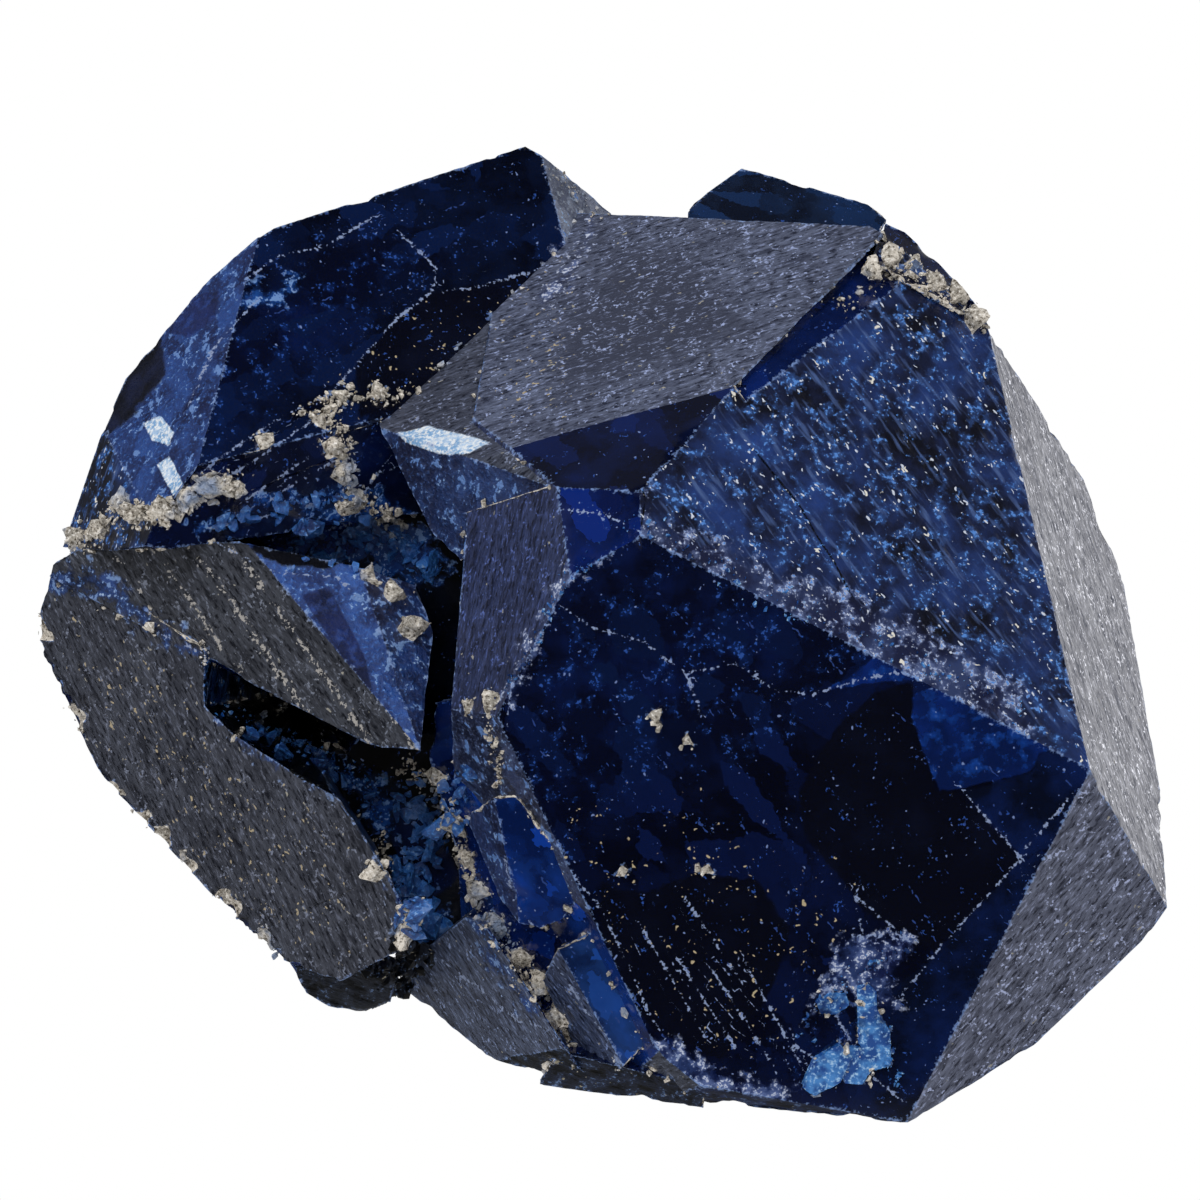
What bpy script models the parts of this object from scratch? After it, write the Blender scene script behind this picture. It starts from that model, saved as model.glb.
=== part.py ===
"""Boleite crystal group, about 25 mm across, lying on a small flat spot.

Deep-blue crystals have grown into one another. Each one is a block split along planes, the way such
crystals cleave, and the blocks are then joined into one solid.
"""

import math
import random

import bmesh
import bpy
from mathutils import Euler, Matrix, Vector
from mathutils.geometry import intersect_line_plane

MM = 0.001
# Corners are seen from the front and a little above: right and up in mm, and how much nearer than
# the middle of the group.
VIEW_TILT = math.radians(25)
EYE_DISTANCE = 100.0
# Where that middle lies in the group's own frame, in mm, with the flat spot at height 0.
MIDDLE_RIGHT = -0.01
MIDDLE_BACK = -1.17
MIDDLE_HEIGHT = 8.5
ROUGH_BLOCK = 80.0
LEDGE_DEPTH = 0.35
SHOULDER_STEP = 0.06


def seen(right, up, near):
    """Place in the group's frame of a point seen right, up and near of the middle."""
    closer = 1 - near / EYE_DISTANCE
    across = right * closer
    rise = up * closer
    back = rise * math.sin(VIEW_TILT) - near * math.cos(VIEW_TILT)
    height = rise * math.cos(VIEW_TILT) + near * math.sin(VIEW_TILT)
    return Vector((MIDDLE_RIGHT + across, MIDDLE_BACK + back, MIDDLE_HEIGHT + height)) * MM


def face(first, second, third):
    """Plane through three corners, as a point and a direction."""
    return first, (second - first).cross(third - first).normalized()


def facing(direction, reach):
    """Plane that faces a direction of the group's frame, this many mm out from the middle."""
    outward = Vector(direction).normalized()
    return seen(0, 0, 0) + outward * reach * MM, outward


def on(plane, *places):
    """Corners on a face, each from where it is seen, right and up."""
    eye = seen(0, 0, EYE_DISTANCE)
    return [intersect_line_plane(eye, seen(right, up, 0), *plane) for right, up in places]


def flanks(corners, root):
    """Hidden faces from each stretch of an outline back to the root of the crystal."""
    return [face(start, end, root) for start, end in zip(corners, corners[1:])]


def ring(corners, root):
    """Hidden faces all round a closed outline, back to the root of the crystal."""
    return flanks(corners + corners[:1], root)


chance = random.Random(7)


def behind_face(plane, depth):
    """Hidden plane parallel to a face, this many mm behind it."""
    point, outward = plane
    if outward.y < 0:
        outward = -outward
    return point + outward * depth * MM, outward


def crystal(name, heart, planes):
    """One crystal: a rough block cleaved along each plane; the side with the heart stays."""
    block = bmesh.new()
    bmesh.ops.create_cube(block, size=ROUGH_BLOCK * MM)
    bmesh.ops.translate(block, vec=heart, verts=block.verts)
    for point, outward in planes:
        if outward.dot(heart - point) > 0:
            outward = -outward
        cut = bmesh.ops.bisect_plane(
            block,
            geom=block.verts[:] + block.edges[:] + block.faces[:],
            dist=1e-7,
            plane_co=point,
            plane_no=outward,
            clear_outer=True,
        )
        rim = [item for item in cut["geom_cut"] if isinstance(item, bmesh.types.BMEdge)]
        if rim:
            bmesh.ops.edgeloop_fill(block, edges=rim)
    bmesh.ops.recalc_face_normals(block, faces=block.faces)
    mesh = bpy.data.meshes.new(name)
    block.to_mesh(mesh)
    block.free()
    return bpy.data.objects.new(name, mesh)


for old in list(bpy.data.objects):
    bpy.data.objects.remove(old, do_unlink=True)

# Main crystal: satin top, big dark front, frosted upper-right face, right and lower-right faces,
# and small bevels between the top and the front.
TOP = face(seen(3.0, 4.75, 4.9), seen(5.95, 7.75, 2.35), seen(-4.95, 3.9, 2.45))
KNEE = seen(10.85, -3.75, 6.0)
FOOT = seen(6.75, -11.6, 3.8)
RIGHT_FOOT = seen(12.55, -6.8, 3.15)
TOP_FRONT, TOP_EDGE, TOP_RIGHT, TOP_BACK, TOP_LEFT, TOP_NOTCH = on(
    TOP, (3.0, 4.75), (5.95, 7.75), (6.3, 8.3), (0.15, 8.55), (-4.95, 3.9), (-1.15, 3.6))
UPPER_RIGHT = face(TOP_FRONT, TOP_EDGE, KNEE)
BROW, RIGHT_TOP = on(UPPER_RIGHT, (0.9, 1.45), (8.6, 6.0))
FRONT = face(BROW, KNEE, FOOT)
RIGHT = face(KNEE, RIGHT_TOP, RIGHT_FOOT)
LOWER_RIGHT = face(KNEE, FOOT, RIGHT_FOOT)
CHEST_TOP = seen(-1.15, 2.5, 5.7)
UPPER_BEVEL = face(TOP_NOTCH, TOP_FRONT, seen(0.55, 2.25, 6.8))
FRONT_CORNER, FRONT_LEFT, FRONT_NOTCH, FRONT_LOW, FRONT_FOOT, TOE_LEFT, TOE = on(
    FRONT, (-1.15, 0.2), (-2.1, -2.2), (-2.0, -3.3), (-0.1, -7.2), (1.2, -9.95), (2.2, -10.75),
    (4.2, -11.1))
LOWER_BEVEL = face(FRONT_CORNER, BROW, seen(-0.9, 2.1, 6.1))
CHEST = face(CHEST_TOP, FRONT_CORNER + seen(0, 0, -0.35) - seen(0, 0, 0), FRONT_LEFT)
SHOULDER_FOOT = seen(-3.0, 0.75, 3.4)
MAIN_ROOT = seen(4.5, 0.5, -60.0)
main = crystal("boleite_crystal", seen(3.0, -2.0, 0.0), [
    TOP, UPPER_RIGHT, FRONT, RIGHT, LOWER_RIGHT, UPPER_BEVEL, LOWER_BEVEL, CHEST,
    face(FRONT_NOTCH, FRONT_LOW, seen(-2.45, -5.5, 3.2)),
    face(FRONT_LOW, FRONT_FOOT, seen(-0.9, -8.5, 2.6)),
    face(FRONT_FOOT, TOE_LEFT, seen(1.5, -10.8, 3.2)),
    face(TOE_LEFT, TOE, seen(3.5, -11.4, 2.8)),
    face(SHOULDER_FOOT, seen(-3.2, -2.0, 4.0), seen(-2.4, -0.5, -3.0)),
    *flanks([TOP_BACK, TOP_RIGHT, RIGHT_TOP,
             *on(RIGHT, (10.5, 3.2), (11.55, 0.55), (12.4, -4.2)), RIGHT_FOOT,
             *on(LOWER_RIGHT, (12.1, -7.45), (9.7, -9.8)), FOOT], MAIN_ROOT),
    facing((0.25, 1, 0.1), 9.6),
    facing((-0.5, 1, 0.0), 9.0),
    facing((0.9, 1, 0.1), 11.0),
])

# Left shoulder of the main crystal, grown parallel to it under the same top.
SHOULDER_SIDE = seen(-4.4, 2.0, 2.6)
shoulder = crystal("shoulder", seen(-1.8, 4.0, 1.0), [
    behind_face(TOP, SHOULDER_STEP), behind_face(UPPER_BEVEL, SHOULDER_STEP),
    face(TOP_LEFT, CHEST_TOP, SHOULDER_FOOT),
    *ring([TOP_LEFT, SHOULDER_SIDE, SHOULDER_FOOT, CHEST_TOP, seen(0.5, 4.5, 4.0),
           *on(TOP, (-0.5, 7.9), (-2.6, 6.9), (-5.0, 4.6))], seen(-1.5, 4.0, -8.0)),
])

# Upper-left crystal with its long dark face and, at its left end, the frosted lobe and the dark
# striated temple beside it.
UPPER = face(TOP_LEFT, *on(TOP, (-0.9, 7.75)), seen(-8.7, 6.6, 2.5))
LOBE = face(*on(UPPER, (-8.7, 3.75), (-7.95, 6.6)), seen(-10.8, 3.5, 1.8))
UPPER_CREST, UPPER_PEAK = on(UPPER, (-7.3, 8.2), (-1.65, 10.05))
LOBE_TOP, LOBE_LEFT, LOBE_CHEEK = on(LOBE, (-8.8, 6.95), (-10.5, 4.9), (-11.0, 3.8))
TEMPLE_FOOT = seen(-11.9, 1.15, 1.2)
TEMPLE = face(LOBE_CHEEK, *on(LOBE, (-10.1, 2.05)), TEMPLE_FOOT)
UNDER_LOBE = face(*on(UPPER, (-8.4, 3.1), (-5.3, 3.9)), seen(-6.6, 1.5, 2.4))
UNDER_LEFT, UNDER_RIGHT = on(UNDER_LOBE, (-9.5, 1.1), (-5.3, 0.6))
UPPER_END = seen(0.1, 8.7, -2.7)
upper = crystal("upper_left", seen(-5.0, 5.0, 0.0), [
    UPPER, LOBE, TEMPLE, UNDER_LOBE,
    face(*on(UPPER, (-1.3, 9.95), (-0.75, 7.85)), UPPER_END),
    *flanks([UPPER_END, UPPER_PEAK, UPPER_CREST], seen(-3.5, 3.5, -16.0)),
    *flanks([UPPER_CREST, LOBE_TOP, LOBE_LEFT, LOBE_CHEEK, TEMPLE_FOOT, UNDER_LEFT],
            seen(-7.5, 3.0, -16.0)),
    face(UNDER_LEFT, UNDER_RIGHT, seen(-7.5, -1.0, -16.0)),
    facing((-0.2, 1, 0.1), 8.5),
    facing((0.2, -0.2, -1), 1.5),
    facing((1, 0.2, 0.0), 1.5),
])

# Crystal that looks out behind the top of the main one.
BEHIND = face(seen(1.9, 8.7, -3.0), seen(3.1, 9.55, -4.2), seen(5.7, 9.0, -4.0))
behind = crystal("behind", seen(4.0, 7.5, -4.4), [
    BEHIND,
    *ring(on(BEHIND, (1.9, 8.7), (3.1, 9.55), (5.65, 9.0), (6.35, 8.4), (5.0, 6.0), (2.0, 6.0)),
          seen(4.0, 6.0, -60.0)),
    facing((0.3, 1, 0.1), 9.3),
])

# Lower-left slab with the striated grey face and the frosted blue ones.
SLAB_RIDGE_TOP = seen(-7.3, 0.65, 4.0)
SLAB_RIDGE_END = seen(-3.95, -3.35, 5.0)
SLAB_KNOT = seen(-5.3, 0.75, 3.6)
SLAB_GREY = face(SLAB_RIDGE_TOP, SLAB_RIDGE_END, seen(-8.7, -1.05, 3.0))
SLAB_BLUE = face(SLAB_RIDGE_TOP, SLAB_RIDGE_END, SLAB_KNOT)
SLAB_FAR = face(SLAB_KNOT, SLAB_RIDGE_END, seen(-3.65, -0.7, 3.3))
slab = crystal("lower_left_slab", seen(-6.3, -0.2, 2.0), [
    SLAB_GREY, SLAB_BLUE, SLAB_FAR,
    *ring([*on(SLAB_GREY, (-8.7, -1.35), (-12.2, 0.5), (-12.1, 0.8), (-11.4, 1.25), (-7.9, 1.3)),
           SLAB_KNOT, *on(SLAB_FAR, (-4.0, 0.3), (-3.65, -0.7)), SLAB_RIDGE_END,
           *on(SLAB_GREY, (-4.95, -3.3))],
          seen(-6.5, 0.0, -60.0)),
    behind_face(SLAB_GREY, 4.0),
])

# Lower-left block below the slit, with its grey face and stepped lower edge.
BLOCK_GREY = face(seen(-12.2, 0.0, 0.8), seen(-4.75, -5.95, 4.8), seen(-6.7, -8.3, 2.6))
BLOCK_OUTLINE = on(
    BLOCK_GREY, (-12.1, 0.75), (-12.4, -0.3), (-12.4, -1.1), (-11.05, -3.85), (-8.75, -6.35),
    (-7.8, -7.35), (-6.9, -8.05), (-5.75, -8.45), (-4.4, -7.75), (-4.2, -7.1), (-4.75, -5.95),
    (-6.3, -3.6), (-8.75, -1.05), (-10.4, 0.0))
block = crystal("lower_left_block", seen(-8.0, -3.8, 0.0), [
    BLOCK_GREY, *ring(BLOCK_OUTLINE, seen(-6.0, -2.0, -40.0)), behind_face(BLOCK_GREY, 4.5),
])

# Dark ledge under the lower-left block.
LEDGE = face(seen(-6.8, -8.0, 1.8), seen(-4.5, -8.2, 2.0), seen(-5.6, -9.1, 1.4))
ledge = crystal("ledge", seen(-5.4, -8.4, 0.5), [
    LEDGE,
    *ring(on(LEDGE, (-6.9, -8.0), (-4.4, -8.0), (-4.6, -8.9), (-5.2, -9.15), (-6.0, -9.0), (-6.5, -8.7)),
          seen(-5.0, -6.5, -40.0)),
    behind_face(LEDGE, 2.5),
])

# Crumbled crystal in the seam between the main crystal and the lower-left block.
SEAM = face(seen(-3.75, -3.45, 3.2), seen(-2.35, -4.0, 3.9), seen(-0.9, -9.5, 2.65))
seam = crystal("seam", seen(-2.0, -5.0, 2.0), [
    SEAM,
    *ring(on(SEAM, (-3.7, -2.2), (-2.2, -2.0), (-0.9, -6.0), (0.2, -9.5), (-1.2, -9.9), (-2.65, -7.2),
             (-3.3, -5.2), (-3.8, -3.5)), seen(-0.5, -4.5, -4.0)),
])

# Long blue facet beside the front's lower left edge, with a grey-blue bevel at its left.
SLIVER = face(seen(-1.9, -4.3, 5.35), seen(-0.65, -6.2, 4.9), seen(-2.15, -6.0, 4.3))
SLIVER_TOP, SLIVER_FOOT = on(SLIVER, (-2.36, -4.35), (-1.8, -7.15))
SLIVER_BEVEL = face(SLIVER_TOP, SLIVER_FOOT, seen(-2.9, -4.7, 4.0))
sliver = crystal("sliver", seen(-1.5, -6.0, 3.5), [
    SLIVER, SLIVER_BEVEL,
    *ring([SLIVER_TOP,
           *on(SLIVER, (-1.92, -4.2), (-0.66, -6.0), (-0.57, -6.7), (-0.8, -7.05), (-1.35, -7.3)),
           SLIVER_FOOT, *on(SLIVER_BEVEL, (-2.2, -6.7), (-2.9, -5.0), (-2.85, -4.5))],
          seen(-0.5, -5.5, -2.0)),
])

# Blue facet below it with a grey strip along its left side.
PLATE = face(seen(0.3, -7.7, 4.5), seen(1.2, -9.5, 4.05), seen(-0.6, -8.9, 3.8))
PLATE_TOP, PLATE_FOOT = on(PLATE, (-0.95, -7.7), (0.3, -9.95))
PLATE_STRIP = face(PLATE_TOP, PLATE_FOOT, seen(-1.05, -9.1, 2.9))
plate = crystal("plate", seen(0.2, -9.0, 3.0), [
    PLATE, PLATE_STRIP,
    *ring([PLATE_TOP, *on(PLATE, (-0.29, -7.37), (0.29, -7.7), (1.24, -9.34), (1.2, -9.65)),
           *on(PLATE_STRIP, (0.35, -10.45), (-0.15, -10.5), (-0.7, -9.7), (-1.3, -8.4))],
          seen(1.0, -8.5, -6.0)),
])

# Low crystal at the lower centre, which reaches the flat spot.
LOW_LEFT = seen(-4.55, -8.85, -0.95)
LOW_MIDDLE = seen(-2.35, -10.2, 1.35)
LOW_GREY = face(LOW_LEFT, LOW_MIDDLE, seen(-2.65, -7.2, 3.4))
LOW_RIGHT, LOW_CROWN = on(LOW_GREY, (-0.75, -9.9), (-2.5, -7.2))
LOW_RIM = face(LOW_MIDDLE, LOW_RIGHT, seen(0.95, -11.08, 2.95))
low = crystal("low", seen(-1.2, -8.5, 0.0), [
    LOW_GREY, LOW_RIM,
    *ring([LOW_LEFT, LOW_MIDDLE, *on(LOW_RIM, (0.1, -11.2)), LOW_RIGHT, LOW_CROWN,
           *on(LOW_GREY, (-3.0, -7.0), (-4.1, -7.9))], seen(-1.5, -5.5, -9.0)),
])

# Dark toe along the flat spot, between the low crystal and the main one.
TOE_BAND = face(seen(-0.9, -9.98, 3.3), seen(2.3, -10.75, 3.7), seen(0.0, -11.0, 2.6))
toe = crystal("toe", seen(1.2, -10.1, 2.2), [
    TOE_BAND,
    *ring(on(TOE_BAND, (-0.9, -9.98), (2.3, -10.75), (2.3, -11.4), (-1.3, -11.2), (-1.35, -10.6)),
          seen(2.0, -6.0, -6.0)),
])

# Crumbly rim at the upper right, outside the frosted face.
RIM = face(seen(5.95, 7.4, 2.7), seen(8.0, 6.15, 2.55), seen(7.45, 7.5, 1.5))
rim = crystal("rim", seen(7.0, 7.0, 1.0), [
    RIM,
    *ring(on(RIM, (5.92, 7.46), (6.3, 8.35), (6.75, 8.15), (7.5, 7.46), (8.28, 6.6), (8.65, 6.0),
             (7.95, 6.2), (6.75, 7.0)), seen(6.0, 5.5, -6.0)),
])

# Hidden core behind the slit and the seams, where all the crystals grow from.
CORE = face(seen(-11.8, 0.5, -0.4), seen(-3.0, -7.5, 0.5), seen(-3.0, 5.0, 0.5))
core = crystal("core", seen(-4.0, -1.0, -4.0), [
    CORE,
    *ring(on(CORE, (-11.6, 1.2), (-12.0, -0.2), (-10.9, -3.6), (-8.2, -6.4), (-5.4, -7.6), (-1.0, -8.0),
             (2.0, -4.0), (1.0, 4.0), (-4.0, 6.0), (-8.5, 5.5), (-10.6, 3.2)), seen(-4.0, 0.0, -60.0)),
    facing((-0.5, 1, 0.0), 7.5),
    facing((-1, 0.5, 0.0), 10.5),
    face(*on(CORE, (-10.7, -3.6), (-6.9, -7.4)), seen(-7.2, -7.4, 0.5) + Vector((0, 5, 0.5)) * MM),
])

# Ways that the sides of a chip face.
CHIP_SIDES = [(1, 0, 0), (-1, 0, 0), (0, 1, 0), (0, -1, 0), (0, 0, 1), (0, 0, -1),
              (1, 1, 1), (-1, -1, 1), (1, -1, -1), (-1, 1, -1)]
# Where the small pieces sit, right and up in mm.
CRUMB_ROWS = [
    (TEMPLE, 0.34, [(-11.55, 1.35), (-11.0, 1.6)]),
    (LOBE, 0.36, [(-10.6, 2.2), (-10.25, 1.9), (-9.75, 2.0)]),
    (UNDER_LOBE, 0.34, [(-9.1, 2.25), (-8.6, 2.5), (-8.1, 2.45), (-5.9, 3.4), (-5.65, 2.8), (-5.5, 2.2)]),
    (UPPER, 0.25, [(-6.2, 4.0), (-5.7, 4.5), (-4.9, 4.6), (-7.4, 3.5)]),
    (SLAB_FAR, 0.28, [(-5.1, 0.55), (-4.6, 0.15), (-4.15, -0.6)]),
    (SEAM, 0.3, [(-3.6, -3.9), (-3.3, -4.9), (-2.95, -5.7), (-2.7, -6.4), (-2.3, -7.2), (-1.8, -7.9),
                 (-1.3, -8.5), (-0.9, -9.2)]),
    (BLOCK_GREY, 0.3, [(-4.15, -6.9), (-4.3, -7.4), (-4.95, -6.0)]),
    (RIM, 0.3, [(6.0, 7.3), (6.4, 7.6), (6.9, 7.4), (7.4, 7.0), (7.9, 6.7), (8.3, 6.2)]),
    (CHEST, 0.25, [(-2.4, -2.2), (-2.9, -2.35)]),
    (FRONT, 0.18, [(0.5, -6.0), (2.35, -5.95), (1.25, -2.55), (1.9, -3.1)]),
]
STUBS = [
    ((5.0, -10.35), 0.62, 0.34, 0.2, 5),
    ((5.65, -10.25), 0.42, 0.34, 0.14, 40),
    ((6.05, -9.6), 0.75, 0.32, 0.16, 60),
    ((5.15, -8.9), 0.34, 0.22, 0.12, -25),
    ((5.9, -8.75), 0.3, 0.2, 0.08, 70),
]
NICKS = [(-11.6, -2.6), (-10.8, -4.15), (-10.15, -4.85), (-9.7, -5.3), (-9.2, -5.85), (-8.3, -6.8),
         (-7.5, -7.6), (-12.4, -0.7)]

# Ground below the flat spot.
FLAT_SPOT = (Vector((0, 0, 0)), Vector((0, 0, 1)))
below_flat_spot = crystal("below_flat_spot", Vector((0, 0, -5)) * MM, [FLAT_SPOT])

# Black slit under the slab's lower edge, and the notch at its left end.
slit = crystal("slit", on(BLOCK_GREY, (-7.0, -2.6))[0], [
    facing((-0.5, -0.7, 0.45), 9.0),
    *ring(on(BLOCK_GREY, (-8.72, -1.1), (-8.72, -2.35), (-7.9, -3.15), (-6.85, -3.75), (-5.9, -4.35),
             (-4.95, -4.6), (-3.9, -3.6), (-4.9, -2.6), (-6.8, -1.6)), seen(-6.4, -2.0, -6.0)),
])

# Narrow ledge under the front edge of the top: a wall at the edge and a floor that rises from it.
INTO = UPPER_RIGHT[1] * (-1 if UPPER_RIGHT[1].y < 0 else 1)
WALL_FOOT = TOP_EDGE + INTO * LEDGE_DEPTH * MM
under_top = crystal("under_top", on(UPPER_RIGHT, (4.8, 6.0))[0] - INTO * LEDGE_DEPTH * MM / 4, [
    face(TOP_FRONT, TOP_EDGE, WALL_FOOT),
    face(*on(UPPER_RIGHT, (3.2, 4.4), (6.5, 6.9)), WALL_FOOT),
    (TOP_EDGE - INTO * LEDGE_DEPTH * MM, INTO),
    face(*on(UPPER_RIGHT, (3.0, 4.75), (3.3, 4.3)), TOP_FRONT + INTO * MM),
    face(*on(UPPER_RIGHT, (6.6, 8.0), (6.6, 7.0)), TOP_EDGE + INTO * MM),
])


def chip(name, heart, size):
    """Irregular chip: an askew block with some corners broken off."""
    askew = Euler([chance.uniform(0, math.tau) for _ in range(3)]).to_matrix()
    sides = []
    for direction in CHIP_SIDES:
        loose = Vector([chance.gauss(0, 0.15) for _ in range(3)])
        outward = (askew @ (Vector(direction).normalized() + loose)).normalized()
        sides.append((heart + outward * size * chance.uniform(0.6, 1.0) * MM, outward))
    return crystal(name, heart, sides)


def stub(name, plane, place, half_length, half_width, rise, turn):
    """Small six-sided crystal that lies on a face, turned by some degrees."""
    middle = on(plane, place)[0]
    outward = plane[1] if plane[1].y < 0 else -plane[1]
    along = Matrix.Rotation(math.radians(turn), 3, outward) @ outward.orthogonal().normalized()
    across = outward.cross(along)
    sides = [(middle + outward * rise * MM, outward), (middle - outward * half_width * MM, -outward)]
    for corner in range(6):
        angle = math.radians(60 * corner)
        side = along * math.cos(angle) / half_length + across * math.sin(angle) / half_width
        sides.append((middle + side.normalized() / side.length * MM, side.normalized()))
    return crystal(name, middle, sides)


# Cream crumbs of matrix along the seams, each row with the face it lies on.
crumbs = []
for row, (plane, size, places) in enumerate(CRUMB_ROWS):
    for number, place in enumerate(places):
        crumbs.append(chip(f"crumb_{row}_{number}", on(plane, place)[0], size * chance.uniform(0.7, 1.2)))

# Matrix that fills the gap behind the low crystal.
seam_fill = chip("seam_fill", seen(-0.6, -9.55, 2.0), 0.85)

# Pale-blue small crystals low on the big front face.
stubs = [stub(f"stub_{number}", FRONT, *shape) for number, shape in enumerate(STUBS)]

# Steps broken out of the lower-left edge.
nicks = [chip(f"nick_{number}", on(BLOCK_GREY, place)[0], chance.uniform(0.2, 0.4))
         for number, place in enumerate(NICKS)]

group = bpy.data.collections.new("boleite_crystal")
tools = bpy.data.collections.new("grown_in_crystals")
bpy.context.scene.collection.children.link(group)
bpy.context.scene.collection.children.link(tools)
group.objects.link(main)
joined = [(piece, "UNION") for piece in (shoulder, upper, behind, core, block)]
joined += [(piece, "DIFFERENCE") for piece in (slit, under_top, *nicks)]
grown_on = (rim, ledge, slab, seam, sliver, plate, low, toe, seam_fill, *crumbs, *stubs)
joined += [(piece, "UNION") for piece in grown_on]
joined += [(below_flat_spot, "DIFFERENCE")]
for piece, operation in joined:
    tools.objects.link(piece)
    piece.hide_render = True
    piece.display_type = "WIRE"
    joint = main.modifiers.new(piece.name, "BOOLEAN")
    joint.operation = operation
    joint.object = piece

boleite = bpy.data.materials.new("boleite")
boleite.use_nodes = True
shader = boleite.node_tree.nodes["Principled BSDF"]
shader.inputs["Base Color"].default_value = (0.003, 0.012, 0.09, 1)
shader.inputs["Roughness"].default_value = 0.25
shader.inputs["Metallic"].default_value = 0.0
main.data.materials.append(boleite)
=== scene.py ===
"""Boleite crystal group, 25 mm across, lying on a pale floor in soft studio light."""

import math

import bmesh
import bpy
import numpy as np
from mathutils import Matrix, Vector
from mathutils.bvhtree import BVHTree
from mathutils.kdtree import KDTree


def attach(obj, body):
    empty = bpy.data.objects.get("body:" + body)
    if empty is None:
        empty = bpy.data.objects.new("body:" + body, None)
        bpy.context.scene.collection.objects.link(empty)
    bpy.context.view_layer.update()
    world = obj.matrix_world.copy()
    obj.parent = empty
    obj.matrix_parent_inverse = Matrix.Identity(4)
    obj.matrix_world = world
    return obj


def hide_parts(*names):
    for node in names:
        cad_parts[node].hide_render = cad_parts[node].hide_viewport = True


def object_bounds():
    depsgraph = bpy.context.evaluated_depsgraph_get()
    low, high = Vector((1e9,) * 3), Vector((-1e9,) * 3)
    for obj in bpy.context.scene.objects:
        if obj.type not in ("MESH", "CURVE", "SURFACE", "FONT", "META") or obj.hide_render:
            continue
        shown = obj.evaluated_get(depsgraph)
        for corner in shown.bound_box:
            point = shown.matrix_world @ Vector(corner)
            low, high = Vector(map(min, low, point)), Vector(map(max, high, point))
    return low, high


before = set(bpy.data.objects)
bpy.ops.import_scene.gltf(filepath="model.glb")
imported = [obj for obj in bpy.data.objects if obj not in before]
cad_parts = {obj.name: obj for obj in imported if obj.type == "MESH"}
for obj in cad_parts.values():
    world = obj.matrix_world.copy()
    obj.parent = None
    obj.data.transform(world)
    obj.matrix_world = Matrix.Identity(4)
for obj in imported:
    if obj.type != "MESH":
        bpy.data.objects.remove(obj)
cad_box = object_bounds()

# Rough stone: the group as it was split from its rock. Every flat face is a cleavage or growth face of
# a deep-blue crystal, and each is known below by where the camera sees it, right and up in mm.
MM = 0.001
VIEW_TILT = math.radians(25)
EYE_DISTANCE = 100.0
MIDDLE = np.array([-0.01, -1.17, 8.5])
RIGHTWARD = np.array([1.0, 0.0, 0.0])
UPWARD = np.array([0.0, math.sin(VIEW_TILT), math.cos(VIEW_TILT)])
NEARER = np.array([0.0, -math.cos(VIEW_TILT), math.sin(VIEW_TILT)])
EYE = MIDDLE + NEARER * EYE_DISTANCE
FLATNESS = math.radians(0.3)
SAME_PLANE = 0.02
NUMBER_LAYER = "cleavage_face"

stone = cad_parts["boleite_crystal"]
rough = bmesh.new()
rough.from_mesh(stone.data)
bmesh.ops.remove_doubles(rough, verts=rough.verts, dist=1e-7)
bmesh.ops.dissolve_limit(rough, angle_limit=FLATNESS, verts=rough.verts, edges=rough.edges)
rough.transform(Matrix.Scale(1 / MM, 4))
rough.normal_update()
planes = []
number = rough.faces.layers.int.new(NUMBER_LAYER)
for flat in sorted(rough.faces, key=lambda item: -item.calc_area()):
    reach = flat.normal.dot(flat.calc_center_median())
    same = [n for n, (normal, offset, _) in enumerate(planes)
            if normal.dot(flat.normal) > math.cos(FLATNESS) and abs(offset - reach) < SAME_PLANE]
    flat[number] = same[0] if same else len(planes)
    if not same:
        planes.append((flat.normal.copy(), reach, flat.calc_center_median()))
bmesh.ops.triangulate(rough, faces=rough.faces, quad_method="BEAUTY", ngon_method="BEAUTY")
rough.verts.index_update()
plane_normals = np.array([normal for normal, _, _ in planes])
plane_middles = np.array([middle for _, _, middle in planes])
plane_areas = np.zeros(len(planes))
for flat in rough.faces:
    plane_areas[flat[number]] += flat.calc_area()
sight = BVHTree.FromBMesh(rough)
rough.faces.ensure_lookup_table()
face_of = [flat[number] for flat in rough.faces]


def seen_at(right, up):
    """Place on the stone, in mm, that the camera sees right and up of the middle, and its face."""
    aim = MIDDLE + RIGHTWARD * right + UPWARD * up - EYE
    hit, _, index, _ = sight.ray_cast(Vector(EYE), Vector(aim).normalized())
    if hit is None:
        return None, None
    return np.array(hit), face_of[index]


def as_seen(places):
    """Right and up, in mm, at which the camera sees each place."""
    offset = places - MIDDLE
    scale = EYE_DISTANCE / (EYE_DISTANCE - offset @ NEARER)
    return np.stack([offset @ RIGHTWARD * scale, offset @ UPWARD * scale], axis=1)


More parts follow.
